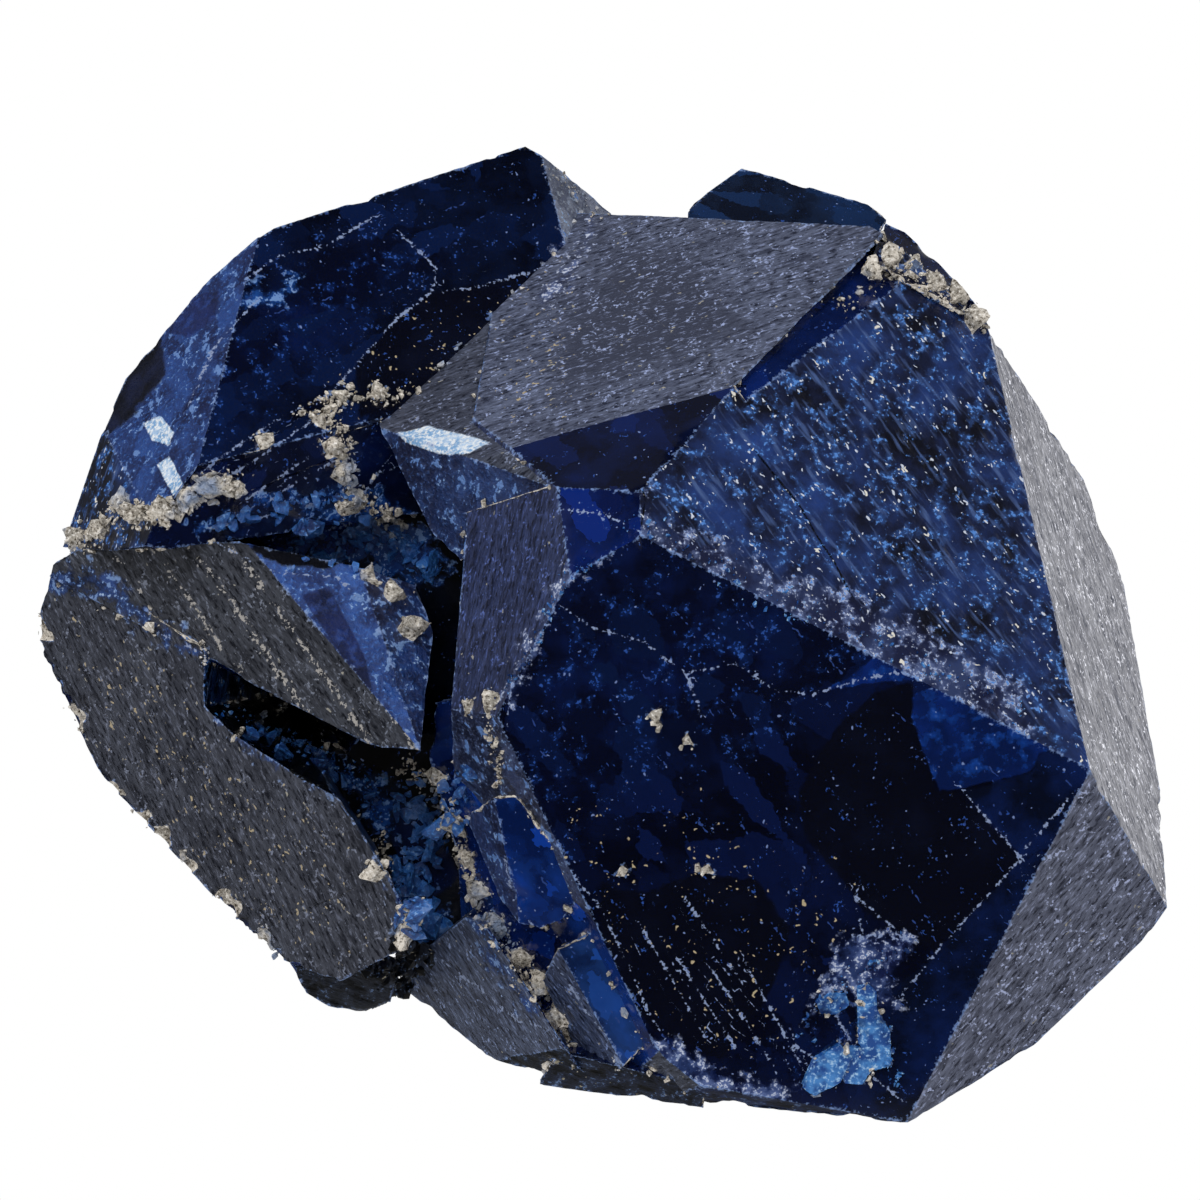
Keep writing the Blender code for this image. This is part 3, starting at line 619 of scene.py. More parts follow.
colour = painted(tree, colour, field, ("dusk", "deep", "inner_reflection", "frost", "lilac", "pale", "vein", "edge"))
colour = layered(tree, colour, [
    (healed, 0.0, 0.1, "#2c4480"), (field["bruise"], 0.4, 0.47, "#2c509c"),
    (flecks(tree, field, "place", 0.06, 0.09), 0.0, 0.12, "#7488b8")])
gold = flecks(tree, field, "place", 0.08, 0.3)
gold = add(tree, "ShaderNodeMath", [(0, gold), (1, field["dust"])], operation="MINIMUM")
colour = layered(tree, colour, [(gold, 0.0, 0.1, "#b8a888")])
keep_material(GLASSY, made, colour, field["crumble"], 0.01, 0.4)

# Flecked cleavage face: a duller break, with rows of white flecks and the blue showing between them.
made, tree, field = stone_material("flecked_cleavage_face", 0.3)
colour = layered(tree, field["tone"], [
    (field["cloud"], 0.48, 0.72, "#103a84"), (field["cloud"], 0.48, 0.36, "#0c1024"),
    (field["crumble"], 0.5, 0.72, "#205098"), (field["lines"], 0.56, 0.72, "#405c94")])
colour = layered(tree, painted(tree, colour, field, ("lilac", "edge", "crack")), [
    (field["bruise"], 0.34, 0.41, "#4c88d8"),
    (flecks(tree, field, "grain", 0.055, 0.5, (2.2, 1.0, 1.0)), 0.0, 0.1, "#d0d8e8"),
    (flecks(tree, field, "grain", 0.12, 0.09, (1.5, 1.0, 1.0)), 0.0, 0.08, "#e8e4d8")])
height = add(tree, "ShaderNodeMath", [(0, field["lines"]), (1, 0.6), (2, field["crumble"])],
             operation="MULTIPLY_ADD")
keep_material(FLECKED, made, colour, height, 0.03)

# Frosted fracture: bruised crystal full of tiny cracks, which scatters the light pale blue.
made, tree, field = stone_material("frosted_fracture", 0.45)
colour = layered(tree, scaled_tone(tree, field, (0.3, 0.36, 0.5)), [
    (field["blocks"], 0.1, 0.9, scaled_tone(tree, field, (1.2, 1.2, 1.2))),
    (field["cloud"], 0.54, 0.38, scaled_tone(tree, field, (0.12, 0.2, 0.35))),
    (field["crumble"], 0.48, 0.7, scaled_tone(tree, field, (1.8, 1.8, 1.6))),
    (field["fine"], 0.54, 0.76, scaled_tone(tree, field, (2.4, 2.4, 1.9))),
    (field["bruise"], 0.36, 0.43, "#8cb0e0"), (field["between"], 0.02, 0.0, "#5c84c4")])
colour = painted(tree, colour, field, ("dusk", "deep", "inner_reflection", "frost", "pale", "vein", "edge"))
height = add(tree, "ShaderNodeMath", [(0, field["crumble"]), (1, 2.0), (2, field["fine"])],
             operation="MULTIPLY_ADD")
keep_material(FROSTED, made, colour, height, 0.04)

# Dark striated face: stepped by growth, black-blue in the steps, with brown dust caught on them.
made, tree, field = stone_material("dark_striated_face", 0.35)
colour = layered(tree, field["tone"], [
    (field["lines"], 0.5, 0.38, "#06080e"),
    (field["crumble"], 0.44, 0.6, scaled_tone(tree, field, (1.8, 2.0, 2.2))),
    (field["lines"], 0.58, 0.74, scaled_tone(tree, field, (2.2, 2.2, 2.1))),
    (field["bruise"], 0.33, 0.42, "#54709c"),
    (flecks(tree, field, "grain", 0.1, 0.25, (2.0, 1.0, 1.0)), 0.0, 0.1, "#a09880")])
height = add(tree, "ShaderNodeMath", [(0, field["lines"]), (1, 1.5), (2, field["dashes"])],
             operation="MULTIPLY_ADD")
keep_material(STRIATED, made, painted(tree, colour, field, ("edge",)), height, 0.05)

# Cream matrix: fine-grained gypsum and clay that the crystals grew in, left in the seams.
made, tree, field = stone_material("gypsum_clay_matrix", 0.85, GYPSUM_IOR)
colour = layered(tree, from_hex("#a8a298"), [
    (field["crumble"], 0.42, 0.6, "#d8d0c4"), (field["fine"], 0.46, 0.34, "#544a3e"),
    (field["fine"], 0.56, 0.68, "#f4f0ea"), (field["cloud"], 0.54, 0.66, "#8c9cb8")])
keep_material(MATRIX, made, colour, field["fine"], 0.05)

# Pale crystal: late growth, full of tiny cracks, so that it looks light blue where it is thin.
made, tree, field = stone_material("pale_late_crystal", 0.25)
colour = layered(tree, from_hex("#184c98"), [
    (field["crumble"], 0.42, 0.6, "#4488d0"), (field["fine"], 0.54, 0.68, "#a4ccf0"),
    (field["cloud"], 0.5, 0.42, "#103068")])
keep_material(PALE, made, colour)

CRISP_EDGE = math.radians(24)


def stone_piece(name, places, corners, finishes, smooth=True):
    """Piece of the stone from places in mm and triangles, each with its own finish."""
    kinds, slots = np.unique(finishes, return_inverse=True)
    mesh = bpy.data.meshes.new(name)
    mesh.vertices.add(len(places))
    mesh.vertices.foreach_set("co", (places * MM).reshape(-1))
    mesh.loops.add(len(corners) * 3)
    mesh.loops.foreach_set("vertex_index", corners.reshape(-1))
    mesh.polygons.add(len(corners))
    mesh.polygons.foreach_set("loop_start", np.arange(len(corners)) * 3)
    mesh.polygons.foreach_set("material_index", slots)
    mesh.polygons.foreach_set("use_smooth", np.full(len(corners), smooth))
    mesh.update(calc_edges=True)
    mesh.set_sharp_from_angle(angle=CRISP_EDGE)
    for kind in kinds:
        mesh.materials.append(materials[kind])
    piece = bpy.data.objects.new(name, mesh)
    bpy.context.scene.collection.objects.link(piece)
    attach(piece, "root")
    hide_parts("boleite_crystal")
    return mesh


def give(mesh, name, kind, values, domain="CORNER"):
    """Gives each corner of a mesh, or each point, a value that its material reads."""
    store = {"FLOAT": "value", "FLOAT_COLOR": "color", "FLOAT_VECTOR": "vector"}[kind]
    mesh.attributes.new(name, kind, domain).data.foreach_set(store, np.ravel(values))


def crystal_piece(name, marks):
    """Crystal with its marks: for each kind, the faces that it is on and an outline or line in mm."""
    mine = owner_of[faces] == list(CRYSTALS).index(name)
    used, local = np.unique(corners[mine].reshape(-1), return_inverse=True)
    own_faces = faces[mine]
    mesh = stone_piece(name, places[used], local.reshape(-1, 3), finish_of[own_faces])
    give(mesh, "tone", "FLOAT_COLOR", np.repeat(tone_of[own_faces], 3, axis=0))
    give(mesh, "grain", "FLOAT_VECTOR", grain_of_corners[mine])
    # edge: distance to the next ridge, for pale ridge lines that are partly wear and partly painted
    # highlight
    give(mesh, "edge", "FLOAT", to_ridge[used], "POINT")
    for mark in MARKS[:-1]:
        is_line = mark in LINE_MARKS
        depth = np.full((len(own_faces), 3), FAR if is_line else -FAR)
        for names, outline in marks.get(mark, []):
            on_face = np.isin(own_faces, [shown[n] for n in names])
            at = spots[corners[mine][on_face].reshape(-1)]
            if is_line:
                new = beside_line(at, outline).reshape(-1, 3)
                depth[on_face] = np.where(np.abs(new) < np.abs(depth[on_face]), new, depth[on_face])
            else:
                depth[on_face] = np.maximum(depth[on_face], depth_inside(at, outline).reshape(-1, 3))
        give(mesh, mark, "FLOAT", depth)


# Spots in each crystal of the group, right, up and towards the camera in mm. A face belongs to the crystal
# with the nearest spot, apart from those named below.
CRYSTALS = {
    "main_crystal": [(3, -3, 3), (4, 6, 1), (9, 0, 1), (8, -7, 2), (4, 2, -8), (9, 2, -6), (4, -6, -6)],
    "upper_left_crystal": [(-5, 6, 0), (-8, 4, 0), (-4, 6, -8), (-9, 3, -6)],
    "lower_left_slab": [(-7, -0.5, 3), (-5, 0, 3)],
    "lower_left_block": [(-9, -3, 1), (-7, -6, 2), (-8, -3, -5)],
    "low_crystals": [(-2.5, -8.5, 2), (-1.5, -6, 4), (0.3, -9, 3.5), (-2, -8, -5)],
}
seeds = []
owners = []
for owner, middles in enumerate(CRYSTALS.values()):
    for right, up, near in middles:
        seeds.append(MIDDLE + RIGHTWARD * right + UPWARD * up + NEARER * near)
        owners.append(owner)
owner_of = np.array(owners)[
    np.linalg.norm(plane_middles[:, None] - np.array(seeds)[None], axis=2).argmin(axis=1)]
OWN_FACES = {
    "main_crystal": ("chest", "shoulder", "top_end", "upper_bevel", "lower_bevel", "under_top", "throat"),
    "upper_left_crystal": ("under_lobe", "temple"),
}
for crystal, names in OWN_FACES.items():
    owner_of[[shown[name] for name in names]] = list(CRYSTALS).index(crystal)

# Main crystal: boleite, a glassy deep-blue chloride. Its top and sides are satin growth faces, its front
# a fresh cleavage, and its upper right a duller break crossed by rows of white flecks.
crystal_piece("main_crystal", {
    "haze": [
        (["front"], [
            (-2.2, -2.0), (-1.5, 0.4), (0.3, 1.2), (3.0, 0.8), (6.0, -0.3), (9.0, -2.0), (6.9, -1.9),
            (4.9, -2.2), (3.6, -3.4), (2.0, -3.8), (0.2, -4.4), (-0.6, -6.0), (-2.2, -4.5)]),
        (["front"], [(4.6, -8.6), (6.0, -8.0), (7.6, -9.4), (7.2, -11.0), (5.4, -11.6), (3.0, -11.0)]),
        (["top"], [(-1.0, 5.9), (0.6, 8.0), (2.0, 7.6), (3.4, 6.0), (1.6, 5.2), (-1.0, 4.4)]),
    ],
    # painted reflection: bright blue patches on the front where inner cleavage planes mirror the light
    "inner_reflection": [
        (["front"], [
            (6.9, -2.1), (7.6, -1.8), (8.4, -2.1), (9.3, -2.5), (10.0, -3.0), (10.1, -3.2), (9.7, -3.4),
            (9.5, -3.8), (8.7, -4.0), (7.8, -4.2), (7.5, -4.2), (7.2, -3.5), (6.9, -2.6)]),
        (["front"], [
            (5.5, -1.7), (6.0, -1.3), (6.7, -1.1), (7.3, -1.3), (7.6, -1.7), (6.3, -1.8), (4.9, -2.0)]),
    ],
    "dusk": [
        (["front"], [
            (8.5, -2.0), (9.6, -2.4), (10.8, -3.1), (11.2, -4.4), (9.9, -5.5), (9.3, -5.7), (8.0, -4.2),
            (9.5, -3.8), (9.7, -3.4), (10.1, -3.2), (10.0, -3.0), (9.3, -2.5)]),
        (["front"], [
            (9.3, -5.7), (9.9, -5.6), (11.2, -4.4), (11.2, -6.0), (7.5, -11.6), (5.5, -11.6),
            (6.0, -9.0), (7.4, -7.8)]),
    ],
    "deep": [
        (["front"], [
            (5.2, -2.8), (6.1, -2.0), (6.9, -1.8), (7.0, -2.8), (7.4, -4.2), (7.9, -4.2), (9.3, -5.7),
            (7.4, -7.8), (5.7, -6.8), (5.6, -6.5), (4.5, -5.2), (4.4, -4.2), (4.9, -3.3)]),
        (["front"], [
            (0.0, -6.2), (0.9, -6.5), (2.2, -6.0), (3.5, -6.2), (4.2, -7.3), (3.8, -8.6), (2.7, -10.2),
            (1.1, -9.5), (0.0, -7.5)]),
    ],
    "lilac": [
        (["upper_right"], [
            (0.0, 1.9), (0.8, 2.7), (1.1, 2.4), (1.2, 1.8), (2.9, 1.3), (3.8, 0.7), (5.4, 0.4),
            (6.1, -0.2), (7.0, -0.3), (7.6, -0.9), (8.3, -1.2), (9.4, -1.9), (9.6, -3.0), (7.9, -2.6),
            (6.3, -1.8), (5.2, -1.2), (4.2, -0.7), (2.9, 0.2), (2.2, 0.5), (0.7, 1.0)]),
        (["chest", "front"], [
            (-1.1, 0.3), (-1.8, -0.9), (-2.3, -2.3), (-1.9, -2.4), (-1.5, -1.4), (-1.0, -0.1),
            (-0.5, 0.5), (0.2, 1.0), (0.0, 1.1), (-0.8, 0.8)]),
        (["front"], [
            (5.3, -7.4), (6.9, -7.3), (7.0, -7.7), (6.5, -8.5), (6.7, -9.1), (6.2, -9.3), (5.5, -8.6),
            (5.0, -8.8), (4.4, -9.7), (4.2, -9.6), (4.9, -8.5)]),
        (["front"], [
            (0.6, -10.4), (1.0, -9.7), (1.6, -9.6), (2.7, -10.4), (4.4, -10.7), (4.0, -11.2),
            (2.2, -10.8)]),
        (["top"], [(-0.2, 8.6), (0.0, 8.3), (-0.6, 6.9), (-1.3, 6.4), (-1.5, 6.8), (-0.6, 7.6)]),
    ],
    "pale": [
        (["shoulder", "top_end"], [
            (-4.5, 3.7), (-3.8, 3.85), (-2.4, 3.5), (-2.9, 3.2), (-3.5, 3.2), (-4.3, 3.45)]),
    ],
    "dust": [
        (["front"], [
            (-0.6, -4.6), (2.4, -4.4), (4.4, -5.6), (5.6, -6.6), (4.4, -9.4), (2.5, -10.2),
            (0.4, -8.0)]),
        (["top"], [(-2.1, 6.6), (-0.8, 7.0), (-0.6, 4.4), (-2.1, 4.2)]),
    ],
    "vein": [
        (["upper_bevel", "lower_bevel"], [(-1.1, 2.1), (-0.9, 2.0), (0.1, 1.9), (0.9, 1.5)]),
        (["front"], [
            (-2.0, -2.1), (-2.1, -3.4), (-2.0, -4.2), (-1.4, -5.0), (-0.5, -6.2), (0.0, -6.8),
            (0.6, -8.0), (1.1, -9.2), (1.8, -10.2)]),
        (["front"], [
            (3.5, -1.6), (4.0, -2.0), (4.7, -2.1), (5.6, -1.8), (6.5, -1.6), (7.3, -1.7), (8.4, -2.0)]),
        (["front"], [(4.2, -9.7), (4.9, -8.7), (5.6, -7.9), (5.8, -7.4), (6.8, -7.5)]),
        (["front"], [(5.2, -9.2), (5.7, -10.0), (6.1, -10.6), (6.6, -11.0)]),
        (["front"], [(4.2, -9.7), (4.9, -10.3)]),
        (["front"], [(5.6, -6.5), (5.8, -7.4), (6.8, -7.5), (5.6, -6.5)]),
        (["front"], [(8.0, -4.2), (9.3, -5.7), (9.9, -6.1)]),
        (["front"], [(9.3, -5.6), (10.6, -4.1)]),
        (["front"], [(9.3, -5.7), (7.4, -7.8), (6.6, -8.8)]),
        (["front"], [(1.7, -7.9), (3.0, -9.9)]),
        (["front"], [(2.5, -8.2), (3.9, -10.4)]),
        (["front"], [(0.9, -7.2), (2.3, -9.6)]),
        (["front"], [(3.2, -8.0), (4.4, -10.2)]),
        (["front"], [(1.9, -6.6), (3.1, -8.4)]),
        (["front"], [(-1.2, 0.1), (-0.2, -0.6), (0.9, -0.9), (1.9, -1.6), (2.2, -2.4)]),
        (["front"], [(1.9, -1.6), (3.0, -1.4), (3.9, -2.0)]),
    ],
    "crack": [
        (["upper_right"], [(3.5, 3.2), (3.9, 2.7), (4.4, 2.1), (4.8, 1.4), (5.2, 0.8), (5.5, 0.2)]),
        (["upper_right"], [(0.9, 1.6), (1.0, 2.2), (0.9, 2.6)]),
    ],
})

# Upper-left crystal: deep blue and glassy, with pale healed cracks, and a frosted lobe at its left end
# that two small cleavage chips have broken.
crystal_piece("upper_left_crystal", {
    "haze": [
        (["upper"], [
            (-9.6, 6.0), (-8.0, 7.4), (-5.0, 8.6), (-3.0, 7.6), (-4.6, 6.4), (-6.4, 4.6), (-9.2, 2.8)]),
    ],
    "dusk": [
        (["lobe"], [(-10.6, 5.6), (-9.7, 5.9), (-9.6, 5.0), (-10.4, 4.0), (-11.2, 3.4), (-11.3, 4.2)]),
    ],
    # painted reflection: a bright blue patch of light mirrored inside the crystal
    "inner_reflection": [
        (["upper", "lobe"], [
            (-9.7, 6.4), (-8.7, 6.8), (-8.4, 6.8), (-8.5, 6.2), (-9.1, 5.8), (-9.5, 5.9)]),
    ],
    "deep": [
        (["upper"], [
            (-5.4, 5.2), (-4.5, 6.2), (-3.7, 6.8), (-2.8, 6.9), (-1.0, 7.4), (-0.6, 7.0), (-1.8, 6.0),
            (-4.0, 4.4), (-5.3, 4.0)]),
    ],
    "frost": [
        (["upper"], [
            (-8.6, 6.7), (-7.9, 7.0), (-7.2, 7.0), (-6.5, 7.2), (-6.9, 6.6), (-7.6, 6.4), (-8.3, 6.5)]),
        (["under_lobe"], [
            (-6.0, 2.5), (-4.8, 2.4), (-3.9, 1.9), (-3.7, 1.2), (-5.6, 1.5), (-6.4, 1.8), (-7.4, 2.0),
            (-8.8, 1.5), (-9.2, 1.7), (-7.2, 2.4)]),
    ],
    "lilac": [
        (["upper"], [
            (-1.2, 9.5), (-0.9, 9.7), (-0.2, 9.5), (0.2, 8.5), (-0.2, 8.0), (-0.8, 6.9), (-1.3, 6.5),
            (-1.5, 6.8), (-1.0, 7.7), (-0.8, 8.5)]),
    ],
    "pale": [
        (["lobe", "upper"], [(-10.1, 3.9), (-9.7, 4.1), (-9.4, 3.7), (-9.5, 3.4), (-9.9, 3.5)]),
        (["lobe", "upper"], [(-9.8, 3.0), (-9.5, 3.2), (-9.1, 2.4), (-9.4, 2.2), (-9.6, 2.6)]),
    ],
    "dust": [
        (["upper"], [(-5.8, 5.0), (-4.2, 6.0), (-2.6, 6.6), (-1.4, 6.6), (-4.4, 4.2), (-6.4, 3.6)]),
    ],
    "vein": [
        (["upper"], [(-8.2, 6.8), (-7.1, 7.6), (-6.1, 7.8), (-5.1, 8.4)]),
        (["upper", "lobe"], [(-9.1, 4.3), (-9.0, 4.5), (-8.5, 5.6), (-7.7, 6.5)]),
        (["upper"], [(-4.3, 8.0), (-3.6, 7.3), (-3.7, 6.8)]),
        (["upper"], [(-1.0, 7.4), (-2.8, 6.9), (-3.7, 6.8), (-4.5, 6.2), (-5.4, 5.2), (-6.0, 4.5)]),
        (["upper", "under_lobe"], [(-9.1, 2.6), (-8.0, 3.4), (-7.1, 4.0), (-5.9, 4.6)]),
        (["upper", "under_lobe"], [(-8.9, 2.3), (-7.6, 3.1), (-6.6, 3.8), (-5.9, 4.2)]),
        (["under_lobe"], [(-8.0, 2.1), (-6.8, 2.9), (-5.7, 3.6)]),
        (["under_lobe"], [(-7.3, 2.2), (-6.4, 2.8), (-5.6, 3.2)]),
        (["under_lobe"], [(-8.5, 1.6), (-7.2, 1.9), (-5.7, 2.3), (-4.6, 2.9)]),
        (["under_lobe"], [(-5.5, 1.6), (-5.2, 2.4), (-4.6, 3.2), (-4.4, 3.8)]),
    ],
})

# Lower-left slab: a satin slab with a frosted, bruised end where it meets the main crystal.
crystal_piece("lower_left_slab", {
    # painted reflection: a bright blue patch of light mirrored inside the slab
    "inner_reflection": [
        (["slab_blue"], [(-6.6, 0.1), (-6.0, 0.3), (-5.2, -1.2), (-5.0, -2.1), (-5.6, -1.4)]),
    ],
    "rows": [
        (["slab_grey"], [(-10.2, 0.9), (-7.6, 0.7), (-3.8, -3.2), (-5.2, -3.3), (-8.6, -1.0)]),
    ],
    "deep": [
        (["slab_blue", "slab_far"], [
            (-7.8, 1.1), (-7.1, 1.9), (-6.0, 2.2), (-5.6, 2.1), (-5.3, 0.9), (-6.0, 0.7), (-7.1, 0.8)]),
    ],
    "frost": [
        (["slab_blue", "slab_far"], [
            (-5.3, 0.5), (-4.4, -0.2), (-3.9, -1.0), (-4.0, -2.6), (-4.3, -3.1), (-4.7, -1.6)]),
        (["slab_grey"], [
            (-12.4, 0.6), (-11.6, 0.9), (-10.8, 0.6), (-9.7, -0.4), (-8.7, -1.1), (-8.9, -1.4),
            (-9.9, -0.9), (-11.0, 0.0), (-12.3, 0.1)]),
    ],
    "vein": [
        (["slab_grey", "slab_blue"], [(-8.5, 1.3), (-7.8, 0.9), (-7.1, 0.6), (-5.8, 0.5), (-5.5, 0.2)]),
        (["slab_blue"], [(-8.4, 1.4), (-7.1, 2.0), (-6.0, 2.3)]),
    ],
})

# Lower-left block: a satin block under the slab, with brown dust in its etched lines, and a frosted lip
# along the black slit between the two.
crystal_piece("lower_left_block", {
    # painted reflection: a bright blue patch of light mirrored inside the core
    "inner_reflection": [
        (["core"], [(-7.6, 1.4), (-6.6, 1.6), (-5.4, 1.8), (-5.0, 1.2), (-5.6, 0.9), (-7.1, 1.0)]),
    ],
    "dusk": [
        (["recess", "block_grey"], [
            (-4.5, -4.6), (-4.2, -4.4), (-3.4, -5.4), (-3.1, -6.1), (-3.7, -6.6), (-4.4, -6.1),
            (-4.6, -5.3)]),
        (["block_grey"], [
            (-12.6, -1.4), (-11.2, -3.5), (-9.4, -5.7), (-8.2, -7.2), (-6.8, -8.4), (-7.2, -8.4),
            (-8.6, -7.5), (-10.4, -5.5), (-11.8, -3.6), (-12.7, -1.6)]),
    ],
    "frost": [
        (["core"], [
            (-5.6, 1.8), (-4.9, 1.9), (-4.0, 1.8), (-3.3, 1.1), (-3.4, 0.5), (-3.9, 0.0), (-4.5, 0.3),
            (-5.1, 0.7), (-5.8, 0.8), (-5.4, 1.3)]),
        (["block_grey", "recess"], [
            (-8.7, -2.4), (-8.0, -2.5), (-6.8, -2.9), (-5.7, -3.4), (-4.7, -4.1), (-4.4, -4.4),
            (-4.5, -5.1), (-4.9, -5.2), (-5.5, -4.4), (-6.4, -4.1), (-7.3, -3.7), (-8.0, -3.2)]),
        (["block_grey", "recess"], [
            (-4.8, -5.5), (-4.4, -5.5), (-4.2, -6.2), (-3.4, -6.7), (-3.5, -7.5), (-4.2, -7.6),
            (-4.5, -7.1), (-4.7, -6.2)]),
        (["block_grey"], [
            (-12.4, 0.6), (-11.6, 0.9), (-10.8, 0.6), (-9.7, -0.4), (-8.7, -1.1), (-8.9, -1.4),
            (-9.9, -0.9), (-11.0, 0.0), (-12.3, 0.1)]),
    ],
    "dust": [
        (["block_grey"], [
            (-11.5, -1.0), (-9.5, -1.6), (-8.6, -3.6), (-6.0, -5.4), (-5.4, -7.6), (-6.6, -7.4),
            (-9.6, -4.6)]),
    ],
    "vein": [
        (["block_grey"], [(-12.2, 0.6), (-11.0, 0.2), (-9.8, -0.7), (-8.7, -1.2)]),
        (["core"], [(-7.4, 1.3), (-6.2, 1.5), (-5.0, 1.8)]),
        (["core"], [(-4.9, 1.6), (-4.3, 1.0), (-4.0, 0.2)]),
    ],
})

# Low crystals: the small grey and blue blades at the foot of the group.
crystal_piece("low_crystals", {
    "frost": [
        (["low_grey"], [
            (-2.9, -7.0), (-2.2, -7.1), (-2.0, -8.2), (-1.0, -9.2), (-1.5, -9.3), (-2.5, -8.2)]),
    ],
    "vein": [
        (["plate", "plate_strip"], [(-1.0, -8.0), (-0.3, -9.1), (0.2, -9.7), (0.5, -10.4)]),
        (["sliver", "sliver_bevel"], [
            (-2.1, -5.7), (-1.9, -6.7), (-1.3, -7.4), (-0.9, -7.4), (-0.6, -6.7)]),
        (["low_grey"], [(-4.0, -7.7), (-3.3, -8.1), (-2.4, -8.8), (-1.8, -9.3), (-0.9, -9.5)]),
    ],
})

# Matrix crumbs: grains of the gypsum and clay that the group grew in, stuck along its seams and in its
# corners all the way round.
chance = np.random.default_rng(5)
GRAIN_KINDS = 12
GRAIN_POINTS = 11
GRAIN_SHAPE = (1.0, 0.75, 0.5)
GAP_SCATTER = 0.09
VALLEY_SCATTER = 0.06
grain_shapes = []
for _ in range(GRAIN_KINDS):
    lump = bmesh.new()
    for _ in range(GRAIN_POINTS):
        spot = chance.normal(size=3)
        lump.verts.new(spot / np.linalg.norm(spot) * chance.uniform(0.75, 1.0) * GRAIN_SHAPE)
    bmesh.ops.convex_hull(lump, input=lump.verts)
    loose = [vertex for vertex in lump.verts if not vertex.link_faces]
    bmesh.ops.delete(lump, geom=loose, context="VERTS")
    lump.verts.index_update()
    grain_shapes.append((np.array([v.co for v in lump.verts]),
                         np.array([[v.index for v in flat.verts] for flat in lump.faces])))
    lump.free()


def grains_along(lines):
    """Places for grains on the stone along lines that the camera sees."""
    found = []
    for line, spread, per_mm, smallest, biggest in lines:
        for start, end in zip(line, line[1:]):
            for _ in range(int(math.dist(start, end) * per_mm + chance.uniform())):
                share = chance.uniform()
                right, up = (s + (e - s) * share + chance.normal() * spread for s, e in zip(start, end))
                hit, face = seen_at(right, up)
                size = smallest + (biggest - smallest) * chance.uniform() ** 3
                if hit is not None:
                    found.append((hit, plane_normals[face], size))
    return found


def grains_between(one, other, count, smallest, biggest):
    """Places for grains in the gap between two spots that the camera sees."""
    found = []
    start, start_face = seen_at(*one)
    end, _ = seen_at(*other)
    for _ in range(count):
        place = start + (end - start) * chance.uniform(0, 1) + chance.normal(size=3) * GAP_SCATTER
        found.append((place, plane_normals[start_face], chance.uniform(smallest, biggest)))
    return found


def grains_in_valleys(count, smallest, biggest):
    """Places for grains in the inner corners all round the stone."""
    found = []
    for index in chance.choice(len(valley["place"]), count):
        size = smallest + (biggest - smallest) * chance.uniform() ** 3
        place = valley["place"][index] + chance.normal(size=3) * VALLEY_SCATTER
        found.append((place, valley["outward"][index], size))
    return found


# The default tone is near black, the painted shade that the dark rubble takes.
def grains_piece(name, found, finish, tone="#05070c"):
    """Grains joined in one piece, each turned its own way and sunk a little in what it sticks to."""
    all_places = []
    all_corners = []
    count = 0
    for place, outward, size in found:
        shape, shape_corners = grain_shapes[chance.integers(GRAIN_KINDS)]
        turn, _ = np.linalg.qr(chance.normal(size=(3, 3)))
        turn[:, 0] *= np.linalg.det(turn)
        all_places.append(place + outward * size * chance.uniform(-0.4, 0.1) + shape @ turn.T * size)
        all_corners.append(shape_corners + count)
        count += len(shape)
    all_corners = np.vstack(all_corners)
    all_places = np.clip(np.vstack(all_places), low, high)
    mesh = stone_piece(name, all_places, all_corners, np.full(len(all_corners), finish), smooth=False)
    give(mesh, "tone", "FLOAT_COLOR", np.tile(from_hex(tone), len(mesh.loops)))
    give(mesh, "grain", "FLOAT_VECTOR", all_places[all_corners])
    for mark in MARKS:
        far = FAR if mark in (*LINE_MARKS, "edge") else -FAR
        give(mesh, mark, "FLOAT", np.full(len(mesh.loops), far))


grains_piece("matrix_crumbs", grains_along([
    ([(-11.8, 1.2), (-11.3, 1.4), (-10.9, 1.7), (-10.6, 2.1), (-10.1, 1.9), (-9.6, 1.9), (-9.1, 2.2),
      (-8.7, 2.5), (-8.3, 2.5), (-7.8, 2.4)], 0.16, 60, 0.04, 0.24),
    ([(-6.1, 4.4), (-5.9, 4.0), (-5.7, 3.4), (-5.5, 2.7), (-5.2, 2.2), (-4.7, 1.8), (-4.4, 1.3)],
     0.13, 60, 0.04, 0.22),
    ([(-6.6, 4.1), (-6.0, 4.4), (-5.3, 4.5), (-4.6, 4.4), (-4.3, 4.7)], 0.12, 40, 0.03, 0.14),
    ([(-4.4, -3.6), (-3.9, -3.9), (-3.5, -4.4), (-3.2, -5.3), (-2.9, -6.2), (-2.4, -7.1), (-1.9, -7.7),
      (-1.5, -8.7)], 0.14, 60, 0.03, 0.14),
    ([(-2.5, -2.8), (-2.3, -3.3), (-2.2, -4.1)], 0.06, 40, 0.03, 0.14),
    ([(5.2, 6.4), (5.9, 6.8), (6.3, 7.2), (6.7, 7.3), (7.3, 6.9), (8.0, 6.4)], 0.12, 26, 0.03, 0.16),
    ([(-4.8, -5.0), (-4.8, -5.5), (-4.6, -6.0)], 0.08, 30, 0.03, 0.13),
    ([(-8.8, -0.9), (-8.7, -1.2), (-8.7, -1.5)], 0.05, 30, 0.03, 0.12),
    ([(-1.1, 9.6), (-0.6, 9.2), (-0.2, 8.7), (0.0, 8.4)], 0.1, 24, 0.03, 0.14),
    ([(2.3, -6.0), (2.5, -6.1)], 0.06, 30, 0.05, 0.16),
]) + grains_in_valleys(1600, 0.03, 0.2), MATRIX)

